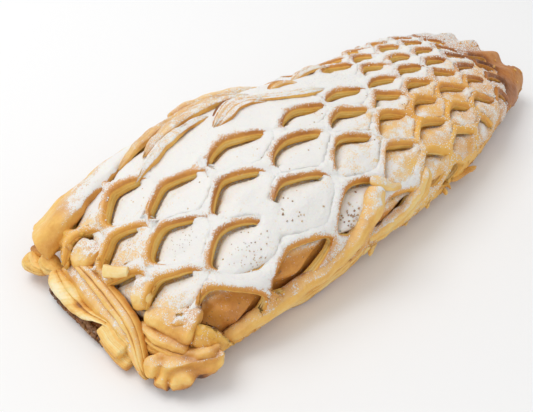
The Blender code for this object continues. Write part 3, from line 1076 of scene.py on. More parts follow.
@dataclass
class BottomCrust:
    """The sheet that everything lies on: thin baked layers whose ragged edges show."""

    loaf: Loaf
    tip: float = 0.1412
    lip: float = 0.0050
    power: float = 5.0
    layers: tuple = ((0.0, 0.0014, 0.0006), (0.0013, 0.0026, 0.0016), (0.0025, 0.0040, 0.0002),
                     (0.0039, 0.0052, 0.0018))
    around: int = 420
    ragged: float = 0.0011
    tears: tuple = ((0.6, 0.006), (0.5, 0.0018))

    def outline(self, inset: float, z: float, seed: float) -> np.ndarray:
        """A ragged outline drawn in by an inset, at a height.

        Args:
            inset: how far in it runs.
            z: its height.
            seed: a number that makes its tears its own.

        Returns:
            A ring of points.
        """
        turn = math.tau * np.arange(self.around) / self.around
        along, aside = np.cos(turn), np.sin(turn)
        blunt = 2 / self.power
        x = (self.tip - inset) * np.sign(along) * np.abs(along) ** blunt
        left, right, _ = self.loaf.sizes(np.clip(x, -self.loaf.length / 2, self.loaf.length / 2))
        half = np.where(aside > 0, left, right) - self.loaf.tuck + self.lip - inset
        y = half * np.sign(aside) * np.abs(aside) ** blunt + self.loaf.drift * x
        ring = np.stack([x, y, np.full_like(x, z)], axis=1)
        flat = ring * (1, 1, 0)
        tear = sum(depth * rough(flat, size, seed + number)
                   for number, (depth, size) in enumerate(self.tears))
        inward = np.stack([-along * 0.5, -aside, 0 * along], axis=1)
        return ring + inward * (self.ragged * (0.5 + tear))[:, None] + self.loaf.shift

    def build(self) -> bpy.types.Mesh:
        """All layers in one mesh, each of them closed.

        Returns:
            The mesh, with rise and wall.
        """
        whole = bmesh.new()
        for number, (low, high, inset) in enumerate(self.layers):
            seed = 20.0 + 3 * number
            thick = high - low
            rings = np.array([self.outline(inset + 0.0006, low, seed),
                              self.outline(inset, low + 0.3 * thick, seed),
                              self.outline(inset, low + 0.75 * thick, seed),
                              self.outline(inset + 0.0007, high, seed)])
            layer = finish_mesh("layer", tube(rings))
            whole.from_mesh(layer)
            bpy.data.meshes.remove(layer)
        mesh = finish_mesh("bottom_crust", whole)
        height = coordinates(mesh)[:, 2]
        store(mesh, rise=height / self.layers[-1][1], wall=np.ones(len(height)))
        return mesh


# ---- folded dough at the cut end

@dataclass(frozen=True)
class Fold:
    """A strip of dough: its path, sizes, and what its upper side is like from edge to edge.

    The path's rows hold x, y, z, half the width and half the thickness, all in tenths of a
    millimetre. A strip on the loaf has the distance from the crest and a height for y and z.
    Rows of seven hold both long edges instead, as x, y, z and x, y, z, and half the thickness.
    A section's rows hold a place across from -100 to 100, a height in tenths of a millimetre,
    and a bake number and a share of the sugar in hundredths. Where the height dips into a groove,
    the bake number is mostly raised there: painted shade in the groove.
    """

    name: str
    path: tuple
    section: tuple
    face: tuple = (-0.6, 0, 0.8)
    shades: tuple = (0.0, 0.0)
    streaks: float = 0.0
    bluntness: float = 6.0
    squareness: float = 2.4
    hollow: float = 0.0
    skew: float = 0.0
    lumps: float = 0.0008
    lump_size: float = 0.008
    creases: float = 0.0
    crease_size: float = 0.007
    sugar: float = 0.3
    layered: float = 0.5
    on_loaf: bool = False
    sway: float = 0.06
    blunt_end: float = 0.07
    fine_share: float = 0.25
    fine_size: float = 0.3
    crease_shade: float = 0.25
    floor: float = 0.0005
    rings: int = 76
    around: int = 88
    stands_for: tuple = ()

    def frames(self, loaf: Loaf) -> tuple:
        """Every ring's middle, half sizes and directions.

        Args:
            loaf: the loaf that some strips lie on.

        Returns:
            Middles, half widths, half thicknesses, and the ways ahead, across and out.
        """
        rows = smooth_path(np.array(self.path) / TENTHS_OF_MM, self.rings)
        thick = rows[:, -1:]
        face = np.tile(np.array(self.face, float), (self.rings, 1))
        if rows.shape[1] == 7:
            middle, gap = (rows[:, :3] + rows[:, 3:6]) / 2, rows[:, 3:6] - rows[:, :3]
            wide = np.linalg.norm(gap, axis=1, keepdims=True) / 2
            ahead = self.unit(np.gradient(middle, axis=0))
            across = gap / (2 * wide)
            out = self.unit(np.cross(across, ahead))
            out *= np.sign(np.einsum("ij,ij->i", out, face))[:, None]
            return middle, wide, thick, ahead, across, out
        middle, wide = rows[:, :3], rows[:, 3:4]
        if self.on_loaf:
            face = loaf.read(rows[:, 0], rows[:, 1])[:, 2:5]
            middle = loaf.lift(rows[:, 0], rows[:, 1], rows[:, 2]) - loaf.shift
        ahead = self.unit(np.gradient(middle, axis=0))
        across = self.unit(np.cross(ahead, face))
        return middle, wide, thick, ahead, across, np.cross(across, ahead)

    @staticmethod
    def unit(ways: np.ndarray) -> np.ndarray:
        """Directions made one long."""
        return ways / np.linalg.norm(ways, axis=1, keepdims=True)

    def build(self, loaf: Loaf, seed: float) -> bpy.types.Mesh:
        """The strip as a closed mesh with all the numbers that the finish reads.

        Args:
            loaf: the loaf that some strips lie on.
            seed: a number that makes its lumps its own.

        Returns:
            The mesh, with its bake and painted shade, rise, wall and share, its part of the sugar.
        """
        middle, wide, thick, ahead, across, out = self.frames(loaf)
        turn = math.tau * np.arange(self.around) / self.around
        power = 2 / self.squareness
        side = np.sign(np.cos(turn)) * np.abs(np.cos(turn)) ** power
        high = np.sign(np.sin(turn)) * np.abs(np.sin(turn)) ** power
        end = np.abs(np.linspace(-1, 1, self.rings))[:, None]
        size = np.sqrt(np.maximum(1 - end ** self.bluntness, 0))
        size = size * (1 - self.blunt_end) + self.blunt_end
        sway = self.sway * np.sin(np.linspace(0, 9, self.rings) + seed)[:, None]
        place = side[None, :] + sway * (1 - np.abs(side))
        where, height, bake, share = np.array(self.section).T / SECTION_UNITS
        ridge = np.interp(place, where, height) * (high > 0) * np.minimum(size, 1)
        rings = (middle[:, None] + across[:, None] * (side * wide * size)[..., None]
                 + out[:, None] * (high * thick * size + ridge)[..., None])
        drawn = self.skew * ramp01(0.72, 1.0, np.linspace(0, 1, self.rings))[:, None, None]
        rings = rings + drawn * side[None, :, None] * ahead[:, None]
        if self.hollow:
            rings = self.hollowed(rings, ahead)
        mesh = finish_mesh(self.name, tube(rings + loaf.shift))
        spot = np.rint(fetch(mesh, "spot") * self.around).astype(int) % self.around
        ring = fetch(mesh, "ring")
        level = np.clip(np.rint(ring * (self.rings - 1)).astype(int), 0, self.rings - 1)
        across_at = place[level, spot]
        points = coordinates(mesh)
        tone = np.interp(across_at, where, bake)
        tone += np.interp(ring, np.linspace(0, 1, len(self.shades)), self.shades)
        grain = np.stack([ring * 46, across_at * 1.4, 0 * ring], axis=1)
        tone += self.streaks * rough(grain, 1.0, seed + 5)
        lumpy = self.lumps * rough(points, self.lump_size, seed)
        fine = rough(points, self.lump_size * self.fine_size, seed + 1)
        lumpy += self.fine_share * self.lumps * fine
        crease = ramp01(0.30, 0.0, np.abs(rough(points, self.crease_size, seed + 2)))
        lumpy -= self.creases * crease
        # Painted shade: the creases are darkened as well as pressed in.
        tone += self.crease_shade * crease * (self.creases > 0)
        points = points + normals(mesh) * lumpy[:, None]
        points[:, 2] = np.maximum(points[:, 2], self.floor + loaf.shift[2])
        move_to(mesh, points)
        store(mesh, bake=tone, rise=across_at * 0.5 + 0.5, share=np.interp(across_at, where, share),
              wall=np.full(len(points), self.layered))
        return mesh

    def hollowed(self, rings: np.ndarray, ahead: np.ndarray) -> np.ndarray:
        """Fold the last rings back inside, which leaves the cut end hollow.

        Args:
            rings: the strip's rings.
            ahead: the way ahead at each of them.

        Returns:
            The rings, some of the last ones replaced.
        """
        last = rings[-8]
        middle = last.mean(axis=0)
        kept = [rings[:-7]]
        for share, back in ((0.97, -0.0004), (0.90, -0.0006), (0.80, -0.0002), (0.66, 0.0010),
                            (0.54, 0.0025), (0.40, self.hollow)):
            kept.append((middle + (last - middle) * share - ahead[-8] * back)[None])
        return np.concatenate(kept)


def toned(tones: Sequence[float], *grooves: Sequence[float]) -> tuple:
    """A section with evenly spaced tones from edge to edge and grooves across them.

    Args:
        tones: bake numbers, in hundredths.
        grooves: each a place and a reach in hundredths, with a depth in tenths of a millimetre.

    Returns:
        Rows for a fold's section.
    """
    places = np.linspace(-HUNDREDTHS, HUNDREDTHS, len(tones))
    rows = {round(float(place), 1): (0, tone) for place, tone in zip(places, tones)}
    for middle, depth, reach in grooves:
        for side in (-1, 0, 1):
            place = middle + side * reach
            tone = round(float(np.interp(place, places, tones)), 1)
            rows[place] = (-depth if side == 0 else 0, tone)
    return tuple((place, *rows[place], HUNDREDTHS) for place in sorted(rows))


def hem_point(x: float, y: float, z: float, run: float, wide: float) -> Fold:
    """A point of dough that sticks out of the -Y hem and leans back along it.

    Args:
        x: where it starts.
        y: how far out its tip lies.
        z: its height.
        run: how far it leans back.
        wide: half its width at the hem.

    Returns:
        The strip.
    """
    return Fold("hem_point", (
        (x, -505, z, wide, 12), (x - 0.25 * run, -530, z + 6, 0.9 * wide, 11),
        (x - 0.7 * run, y + 15, z + 6, 0.5 * wide, 8), (x - run, y, z, 4, 4)),
        ((-100, 0, 44, 100), (0, 2, 30, 100), (100, 0, 48, 100)),
        face=(0, -0.5, 0.8), sugar=0.0, bluntness=30, layered=0.3, rings=30, around=30)


# In this order each strip keeps its own seed.
# Where a section's height dips into a groove, its tone is mostly darker there: painted shade.
FOLDS = (
    # A dark strip inside the hollow cut end at the near left: painted shade for the gap between the
    # strand's skin and the lumps below.
    Fold("hollow_shade_strip", ((-1351, 442, 88, -1333, 438, 115, 16), (-1350, 391, 90, -1326, 400, 126, 20),
        (-1335, 332, 113, -1315, 337, 142, 16)),
        ((-100, 0, 60, 0), (0, 0, 66, 0), (100, 0, 72, 0)),
        sugar=0.0, layered=0.6),
    Fold("near_stub", ((-1290, 209, 150, -1214, 222, 225, 22), (-1302, 163, 155, -1203, 153, 245, 28),
        (-1281, 116, 165, -1206, 96, 245, 22)),
        ((-100, 0, 52, 0), (-60, 8, 34, 40), (-20, 8, 30, 90), (40, 3, 44, 120), (100, 0, 50, 160)),
        shades=(0.0, -0.03, 0.1, 0.16), bluntness=14, squareness=2.8, lumps=0.001, lump_size=0.005,
        layered=0.2),
    Fold("middle_stub", ((-1280, -158, 180, -1210, -108, 240, 22), (-1262, -195, 185, -1182, -134, 250, 26),
        (-1232, -211, 190, -1174, -183, 250, 22)),
        ((-100, 0, 50, 0), (-60, 8, 32, 40), (-20, 8, 28, 90), (40, 3, 44, 120), (100, 0, 50, 160)),
        bluntness=14, squareness=2.8, lumps=0.001, lump_size=0.005, layered=0.2),
    Fold("end_flap", ((-1328, 280, 100, -1258, 111, 204, 18), (-1337, 193, 86, -1265, 20, 195, 20),
        (-1344, 103, 76, -1270, -67, 186, 22), (-1347, 19, 72, -1278, -148, 175, 22),
        (-1341, -78, 81, -1288, -206, 160, 22), (-1346, -176, 74, -1312, -266, 124, 22),
        (-1370, -279, 38, -1342, -320, 79, 20), (-1388, -356, 15, -1364, -360, 47, 18)),
        ((-100, 0, 50, 0), (-90, 4, 30, 20), (-70, 10, 34, 90), (-40, 13, 40, 130), (-10, 7, 34, 140),
         (6, 1, 42, 90), (11, -5, 80, 0), (17, 6, 44, 30), (25, 17, 24, 20), (36, 22, 30, 50),
         (50, 20, 34, 70), (56, 12, 72, 0), (62, 19, 40, 40), (74, 19, 30, 90), (84, 12, 36, 100),
         (88, 5, 66, 0), (93, 8, 34, 40), (100, 0, 55, 0)),
        shades=(0.18, 0.1, 0.08, 0.12, 0.06, 0.0, 0.0), lumps=0.0006, sugar=0.26, layered=0.3, bluntness=14,
        rings=110, around=180, stands_for=(Node.FLAP,)),
    Fold("end_roll", ((-1353, 285, 83, -1321, 242, 125, 30), (-1376, 234, 54, -1329, 155, 112, 40),
        (-1388, 165, 44, -1338, 79, 99, 42), (-1392, 77, 42, -1343, 8, 92, 40),
        (-1376, -13, 52, -1338, -65, 99, 32), (-1354, -88, 80, -1337, -121, 101, 24),
        (-1342, -144, 92, -1340, -170, 96, 16)),
        ((-100, 0, 62, 0), (-85, 4, 44, 20), (-60, 10, 30, 60), (-20, 13, 18, 100), (15, 9, 24, 100),
         (40, 2, 42, 60), (48, -4, 66, 0), (56, 3, 40, 40), (80, 4, 34, 60), (100, 0, 55, 0)),
        shades=(0.2, 0.04, -0.2, -0.22, 0.16, 0.1, -0.1, 0.02, 0.0, 0.04), streaks=0.14, sugar=0.12,
        lumps=0.0009, layered=0.2, bluntness=10, rings=110, around=120, stands_for=(Node.ROLL,)),
    Fold("end_block", ((-1358, -95, 80, 42, 26), (-1376, -160, 78, 38, 26), (-1380, -235, 76, 36, 24)),
        toned((26, 46, 20, 40), (-60, 7, 6), (10, 7, 6)), face=(-0.3, 0, 0.95), bluntness=24,
        squareness=4.0, lumps=0.0007, sugar=0.05, layered=1.0, stands_for=(Node.BLOCK,)),
    Fold("lower_block", ((-1365, -100, 35, 40, 26), (-1380, -180, 35, 34, 26), (-1378, -270, 35, 36, 26)),
        toned((30, 42, 26, 46), (-20, 7, 6)), face=(-0.3, 0, 0.95), bluntness=20, squareness=4.0,
        lumps=0.0005, sugar=0.05, layered=1.0),
    Fold("pale_slab", ((-1281, -2, 222, -1254, 28, 255, 13), (-1255, -51, 235, -1232, -26, 270, 15),
        (-1224, -86, 250, -1207, -69, 280, 13)),
        ((-100, 0, 50, 0), (-70, 3, 26, 30), (0, 6, 16, 50), (80, 2, 20, 80), (100, 0, 36, 100)),
        bluntness=60, squareness=5.0, lumps=0.0006, sugar=0.2, layered=0.2),
    Fold("right_corner", ((-1394, -367, 30, -1334, -298, 110, 26), (-1377, -413, 30, -1308, -337, 130, 34),
        (-1346, -444, 30, -1284, -387, 145, 36), (-1309, -467, 40, -1237, -420, 155, 38),
        (-1262, -502, 60, -1190, -454, 160, 38), (-1214, -519, 70, -1154, -484, 160, 36),
        (-1165, -515, 90, -1128, -503, 165, 30)),
        ((-100, 0, 86, 0), (-86, 0, 66, 20), (-66, 10, 40, 40), (-20, 6, 34, 80), (30, 14, 32, 160),
         (100, 0, 38, 80)),
        shades=(0.06, 0.0, -0.06, -0.02, 0.04, 0.06, 0.02), lumps=0.0026, lump_size=0.011, creases=0.0016,
        crease_size=0.01, sugar=0.22, layered=0.0, rings=100, around=120, stands_for=(Node.RIGHT_CORNER,)),
    Fold("left_corner", ((-1364, 430, 83, -1345, 405, 112, 30), (-1393, 424, 46, -1351, 368, 103, 40),
        (-1395, 368, 44, -1356, 334, 96, 40), (-1379, 295, 61, -1354, 292, 98, 30)),
        toned((56, 34, 44, 30, 46), (-30, 10, 10), (35, 10, 8)), lumps=0.001, lump_size=0.006, sugar=0.06,
        layered=0.35, streaks=0.02, stands_for=(Node.LEFT_CORNER,)),
    Fold("left_tuck", ((-1348, 380, 85, -1317, 338, 131, 28), (-1364, 356, 64, -1322, 304, 124, 38),
        (-1367, 301, 60, -1326, 271, 118, 38), (-1352, 244, 80, -1325, 229, 120, 26)),
        toned((52, 30, 24, 38, 50), (0, 10, 10)), lumps=0.0009, lump_size=0.006, sugar=0.06, layered=0.45,
        streaks=0.03),
    Fold("edge_strand", ((-400, -400, 10, 12, 10), (-650, -405, 24, 46, 28), (-850, -390, 32, 80, 38),
        (-1050, -366, 40, 106, 46), (-1210, -346, 44, 112, 50), (-1345, -340, 40, 94, 50)),
        ((-100, 0, 50, 260), (-55, 4, 44, 240), (-20, 2, 40, 160), (20, 0, 32, 90), (30, -7, 36, 40),
         (40, 0, 32, 50), (100, 0, 50, 40)),
        shades=(0.06, 0.08, 0.12, 0.1, 0.04, -0.02), hollow=0.006, skew=-0.005, sugar=0.36, lumps=0.0016,
        lump_size=0.011, bluntness=60, layered=0.1, on_loaf=True),
    Fold("poking_strand", ((-560, -405, 75, 42, 26), (-480, -400, 75, 48, 30), (-350, -380, 65, 48, 30),
        (-200, -350, 45, 40, 26), (-60, -320, 15, 22, 16)),
        toned((55, 44, 40, 50), (20, 8, 12)), sugar=0.25, bluntness=40, on_loaf=True),
    Fold("back_layer", ((-820, -400, 30, 20, 14), (-700, -395, 52, 44, 22), (-560, -385, 50, 50, 24),
        (-400, -365, 40, 44, 22), (-240, -330, 25, 26, 16)),
        toned((70, 50, 58, 42), (0, 8, 12), (60, 8, 10)), layered=1.0, on_loaf=True),
    Fold("back_ridge", ((-840, -235, 47, 14, 11), (-720, -262, 57, 32, 21), (-560, -275, 59, 36, 22),
        (-420, -255, 59, 32, 21), (-290, -200, 49, 14, 11)),
        toned((62, 50, 56, 44, 50), (-35, 6, 8), (30, 6, 8)), sugar=0.26, layered=0.9, on_loaf=True),
    Fold("back_hem_ridge", ((-920, -300, 41, 16, 11), (-760, -335, 55, 34, 23), (-580, -350, 59, 38, 23),
        (-400, -330, 57, 32, 21), (-260, -280, 47, 16, 11)),
        toned((60, 46, 56, 46, 52), (-20, 6, 8), (50, 6, 8)), sugar=0.24, layered=0.9, on_loaf=True),
    Fold("back_fold", ((-940, -150, 45, 12, 10), (-850, -172, 57, 26, 18), (-740, -195, 61, 30, 20),
        (-620, -205, 59, 26, 17), (-520, -200, 49, 12, 10)),
        toned((60, 50, 46, 52), (0, 6, 10)), sugar=0.32, layered=0.9, on_loaf=True),
    Fold("back_band", ((-580, -105, 46, 16, 10), (-500, -130, 56, 40, 18), (-420, -155, 62, 48, 20),
        (-345, -145, 58, 42, 18), (-280, -90, 46, 18, 10)),
        ((-100, 0, 62, 100), (-70, 0, 56, 100), (-60, -7, 68, 40), (-50, 0, 48, 100), (-15, 3, 54, 100),
         (-5, -6, 66, 40), (5, 3, 46, 100), (40, 0, 54, 100), (50, -6, 64, 40), (60, 0, 44, 100),
         (100, 0, 60, 100)),
        lumps=0.0009, layered=0.9, on_loaf=True),
    # A thin, very dark strip along the back: painted shade for a narrow slit there.
    Fold("back_slit_shade", ((-520, -175, 40, 8, 8), (-450, -200, 52, 18, 12), (-380, -218, 52, 18, 12),
        (-310, -222, 40, 8, 8)),
        ((-100, 0, 95, 0), (0, -6, 86, 0), (50, 0, 60, 0), (100, 0, 50, 0)),
        sugar=0.0, layered=0.2, on_loaf=True),
    Fold("gold_band", ((-345, -195, 44, 10, 8), (-270, -110, 55, 26, 15), (-180, -62, 58, 30, 16),
        (-80, -30, 56, 28, 15), (40, -8, 44, 10, 8)),
        ((-100, 0, 50, 100), (-30, 0, 34, 100), (-20, -5, 50, 60), (-10, 0, 34, 100), (40, 0, 30, 100),
         (50, -5, 46, 60), (60, 0, 34, 100), (100, 0, 46, 100)),
        sugar=0.36, layered=0.9, on_loaf=True),
    # A strip darkened on one side: painted shade for a gap along the back.
    Fold("back_gap_shade", ((-210, -165, 40, 8, 8), (-150, -175, 53, 24, 14), (-90, -170, 53, 24, 14),
        (-20, -130, 40, 8, 8)),
        ((-100, 0, 80, 0), (0, -4, 72, 0), (40, 0, 52, 50), (100, 0, 46, 100)),
        sugar=0.2, on_loaf=True),
    Fold("far_band", ((-40, -180, 40, 10, 8), (60, -200, 55, 32, 18), (160, -205, 56, 32, 18),
        (260, -190, 40, 10, 8)),
        ((-100, 0, 66, 100), (0, 0, 56, 100), (10, -6, 66, 50), (20, 0, 52, 100), (100, 0, 50, 100)),
        sugar=0.26, layered=0.8, on_loaf=True),
    Fold("hem_strand", ((-1100, 600, 10, 22, 20), (-1000, 605, 20, 34, 30), (-880, 630, 28, 40, 34),
        (-740, 655, 30, 44, 34), (-600, 660, 34, 44, 34), (-490, 640, 38, 42, 34), (-390, 595, 44, 42, 34),
        (-310, 545, 50, 44, 34), (-265, 500, 54, 44, 32)),
        ((-100, 0, 46, 30), (-50, 3, 44, 60), (0, 4, 38, 100), (50, 0, 40, 150), (100, 0, 50, 80)),
        sugar=0.42, bluntness=30, lumps=0.001, layered=0.25, on_loaf=True),
    Fold("lower_hem", ((-400, 735, 8, 30, 14), (-280, 725, 24, 52, 22), (-150, 690, 34, 58, 24),
        (-40, 645, 36, 56, 22), (40, 590, 36, 48, 20), (90, 540, 30, 34, 16)),
        ((-100, 0, 44, 60), (-50, 4, 32, 120), (-10, 0, 30, 120), (10, -5, 42, 50), (30, 0, 34, 50),
         (100, 0, 42, 30)),
        sugar=0.4, lumps=0.0013, lump_size=0.006, squareness=2.8, on_loaf=True),
    Fold("side_layer", ((-900, 735, 10, 24, 10), (-740, 755, 34, 50, 16), (-580, 760, 42, 56, 17),
        (-430, 740, 40, 52, 16), (-320, 700, 24, 34, 12)),
        ((-100, 0, 56, 100), (-60, 0, 34, 100), (-52, -8, 82, 0), (-44, 0, 36, 100), (0, 4, 30, 100),
         (16, -8, 78, 0), (26, 2, 34, 0), (60, 0, 40, 0), (68, -6, 66, 0), (76, 0, 46, 0), (100, 0, 58, 0)),
        sugar=0.1, layered=0.8, on_loaf=True),
    Fold("side_underlayer", ((-840, 790, 6, 20, 10), (-660, 808, 30, 36, 14), (-480, 805, 32, 38, 14),
        (-330, 780, 20, 28, 12)),
        ((-100, 0, 50, 100), (-20, 0, 34, 100), (-10, -6, 66, 0), (0, 0, 36, 100), (100, 0, 50, 100)),
        sugar=0.03, layered=0.8, on_loaf=True),
    Fold("torn_flap", ((-280, 470, 62, 20, 10), (-240, 500, 68, 25, 12), (-190, 530, 62, 20, 11),
        (-130, 545, 45, 12, 9)),
        toned((40, 28, 36)), sugar=0.2, bluntness=20, on_loaf=True),
    Fold("torn_tip", ((-380, 735, 30, 30, 12), (-330, 765, 38, 30, 12), (-285, 800, 32, 12, 8)),
        toned((32, 26, 36)), sugar=0.03, bluntness=16, on_loaf=True),
    *(hem_point(*sizes) for sizes in (
        (-225, -574, 60, 105, 30), (40, -575, 58, 100, 26), (195, -582, 58, 90, 24),
        (290, -592, 60, 30, 16), (330, -590, 62, 25, 14))),
    Fold("spur", ((330, -520, 75, 40, 14), (410, -555, 75, 34, 12), (490, -580, 72, 18, 9),
        (545, -590, 70, 6, 5)),
        toned((50, 40, 55)), face=(0, 0, 1), sugar=0.0),
    Fold("wide_stub", ((-1275, -229, 150, -1228, -194, 190, 22), (-1265, -287, 155, -1195, -260, 208, 24),
        (-1252, -368, 160, -1157, -329, 225, 24), (-1234, -439, 165, -1129, -392, 245, 22)),
        ((-100, 0, 52, 0), (-70, 6, 38, 20), (-30, 9, 36, 50), (10, 6, 38, 90), (60, 0, 42, 100),
         (100, -6, 48, 120)),
        shades=(0.02, -0.04, 0.0, 0.1, 0.16, 0.14), sugar=0.27, bluntness=16, squareness=2.8, lumps=0.0012,
        lump_size=0.006, layered=0.15),
    Fold("second_layer", ((-1307, -194, 85, -1264, -190, 140, 22), (-1309, -280, 85, -1256, -264, 148, 26),
        (-1295, -366, 90, -1241, -343, 155, 26), (-1259, -436, 100, -1217, -426, 165, 24)),
        ((-100, 0, 56, 0), (-72, 4, 38, 30), (-45, 8, 30, 60), (-22, 3, 44, 20), (-14, -8, 70, 0),
         (-5, 6, 36, 40), (35, 10, 32, 100), (100, 0, 56, 50)),
        shades=(0.0, -0.04, 0.04, 0.12, 0.1), sugar=0.24, bluntness=10, lumps=0.0012, lump_size=0.007,
        layered=0.3),
    Fold("third_layer", ((-1321, -250, 60, -1292, -213, 95, 22), (-1303, -311, 65, -1287, -279, 105, 22),
        (-1285, -364, 70, -1264, -343, 110, 22), (-1259, -407, 75, -1246, -395, 120, 22)),
        ((-100, 0, 50, 0), (0, 6, 42, 100), (100, 0, 66, 0)),
        sugar=0.05, layered=0.6))


@dataclass
class CutEnd:
    """Everything that is folded, rolled, torn and pinched round the near cut end."""

    loaf: Loaf
    first_seed: float = 50.0
    sweetness: float = 1.8
    steepness: float = 0.20

    def add(self, dusting: "Dusting") -> None:
        """Build, sugar and place every strip.

        Args:
            dusting: what bakes and sugars them.
        """
        finish = Pastry("folded_dough", stops=(
            (0.0, paint(248, 233, 190)), (0.22, paint(242, 213, 142)), (0.42, paint(237, 187, 98)),
            (0.62, paint(213, 150, 68)), (0.80, paint(164, 103, 46)), (1.0, paint(96, 56, 30))),
            mottle=0.44, layering=0.50, layer_count=11.0).make()
        for number, fold in enumerate(FOLDS):
            mesh = fold.build(self.loaf, self.first_seed + number)
            dusting.sugar(mesh, fold.sugar * self.sweetness, self.steepness * fold.on_loaf)
            store(mesh, sugar=fetch(mesh, "sugar") * fetch(mesh, "share"))
            points = coordinates(mesh)
            low = ramp01(0.006, 0.0, points[:, 2]) * 0.35
            store(mesh, bake=fetch(mesh, "bake") + low + 0.10 * rough(points, 0.007, 60.0))
            slot = Slot.LATTICE if fold.on_loaf or "stub" in fold.name else Slot.FOLDS
            add_piece(fold.name, mesh, finish, slot, *fold.stands_for)


# ---- materials

def paint(red: int, green: int, blue: int) -> tuple:
    """A colour as a shader wants it, from the usual 0 to 255 values.

    Args:
        red: its red.
        green: its green.
        blue: its blue.

    Returns:
        Four numbers from 0 to 1.
    """
    parts = [value / 255 for value in (red, green, blue)]
    return (*[part / 12.92 if part <= 0.04045 else ((part + 0.055) / 1.055) ** 2.4
              for part in parts], 1.0)


class Graph:
    """A material's nodes, put together by nested calls."""

    def __init__(self, name: str) -> None:
        """Start a material with a Principled shader.

        Args:
            name: the material's name.
        """
        self.material = bpy.data.materials.new(name)
        self.material.use_nodes = True
        self.tree = self.material.node_tree
        self.shader = self.tree.nodes["Principled BSDF"]
        self.where = self.tree.nodes.new("ShaderNodeTexCoord").outputs["Object"]

    def feed(self, socket: bpy.types.NodeSocket, value: object) -> None:
        """Give a socket a value, or link another socket to it.

        Args:
            socket: what takes the value.
            value: a number, a colour or a socket.
        """
        if isinstance(value, bpy.types.NodeSocket):
            self.tree.links.new(value, socket)
        else:
            socket.default_value = value

    def number(self, name: str) -> bpy.types.NodeSocket:
        """A number stored on the mesh.

        Args:
            name: its name.

        Returns:
            The number's socket.
        """
        node = self.tree.nodes.new("ShaderNodeAttribute")
        node.attribute_name = name
        return node.outputs["Fac"]

    def maths(self, operation: str, *values: object) -> bpy.types.NodeSocket:
        """The result of a Math node.

        Args:
            operation: which operation.
            values: its operands.

        Returns:
            The result's socket.
        """
        node = self.tree.nodes.new("ShaderNodeMath")
        node.operation = operation
        for socket, value in zip(node.inputs, values):
            self.feed(socket, value)
        return node.outputs[0]

    def swung(self, noise: object, amount: object, base: object) -> bpy.types.NodeSocket:
        """A number that a noise swings up and down round its own value."""
        return self.maths("MULTIPLY_ADD", self.maths("SUBTRACT", noise, 0.5), amount, base)

    def step(self, low: float, high: float, value: object) -> bpy.types.NodeSocket:
        """A smooth step from 0 at low to 1 at high.

        Args:
            low: where it leaves 0.
            high: where it reaches 1.
            value: what is read.

        Returns:
            The step's socket.
        """
        node = self.tree.nodes.new("ShaderNodeMapRange")
        node.interpolation_type = "SMOOTHSTEP"
        for name, given in (("Value", value), ("From Min", low), ("From Max", high)):
            self.feed(node.inputs[name], given)
        return node.outputs["Result"]

    def noise(self, size: float, detail: float = 2.0, where: object = None) -> bpy.types.NodeSocket:
        """Soft noise from 0 to 1 whose features are about a size across.

        Args:
            size: the size, in metres.
            detail: how many finer layers it has.
            where: coordinates, or the piece's own.

        Returns:
            The noise's socket.
        """
        node = self.tree.nodes.new("ShaderNodeTexNoise")
        self.feed(node.inputs["Vector"], self.where if where is None else where)
        self.feed(node.inputs["Scale"], 1 / size)
        self.feed(node.inputs["Detail"], detail)
        return node.outputs["Fac"]

    def grains(self, size: float, randomness: float = 1.0) -> tuple:
        """Distance and colour of scattered cells that are a size apart.

        Args:
            size: the gap, in metres.
            randomness: how irregular they are.

        Returns:
            Both sockets.
        """
        node = self.tree.nodes.new("ShaderNodeTexVoronoi")
        self.feed(node.inputs["Vector"], self.where)
        self.feed(node.inputs["Scale"], 1 / size)
        self.feed(node.inputs["Randomness"], randomness)
        return node.outputs["Distance"], node.outputs["Color"]

    def blend(self, share: object, first: object, second: object,
              how: str = "MIX") -> bpy.types.NodeSocket:
        """Two colours mixed by a share.

        Args:
            share: how much of the second there is.
            first: a colour.
            second: another.
            how: the way they mix.

        Returns:
            The mixed colour's socket.
        """
        node = self.tree.nodes.new("ShaderNodeMix")
        node.data_type, node.blend_type = "RGBA", how
        for socket, value in zip([node.inputs[0], node.inputs[6], node.inputs[7]],
                                 [share, first, second]):
            self.feed(socket, value)
        return node.outputs[2]

    def tones(self, value: object, stops: Iterable) -> bpy.types.NodeSocket:
        """A colour read from a ramp of places and colours.

        Args:
            value: where the ramp is read.
            stops: its places and colours.

        Returns:
            The colour's socket.
        """
        node = self.tree.nodes.new("ShaderNodeValToRGB")
        stops = list(stops)
        marks = node.color_ramp.elements
        while len(marks) < len(stops):
            marks.new(0.5)
        for mark, (place, colour) in zip(marks, stops):
            mark.position, mark.color = place, colour
        self.feed(node.inputs["Fac"], value)
        return node.outputs["Color"]

    def look(self, **values: object) -> None:
        """Feed the shader's inputs, which are named with _ for each space."""
        for name, value in values.items():
            self.feed(self.shader.inputs[name.replace("_", " ")], value)

    def relief(self, *layers: tuple) -> None:
        """Bumps on the shader's normal, each a height from 0 to 1 and its depth in metres.

        Args:
            layers: the heights and depths.
        """
        below = None
        for height, depth in layers:
            node = self.tree.nodes.new("ShaderNodeBump")
            self.feed(node.inputs["Height"], height)
            node.inputs["Distance"].default_value = depth
            if below is not None:
                self.feed(node.inputs["Normal"], below)
            below = node.outputs["Normal"]
        self.look(Normal=below)


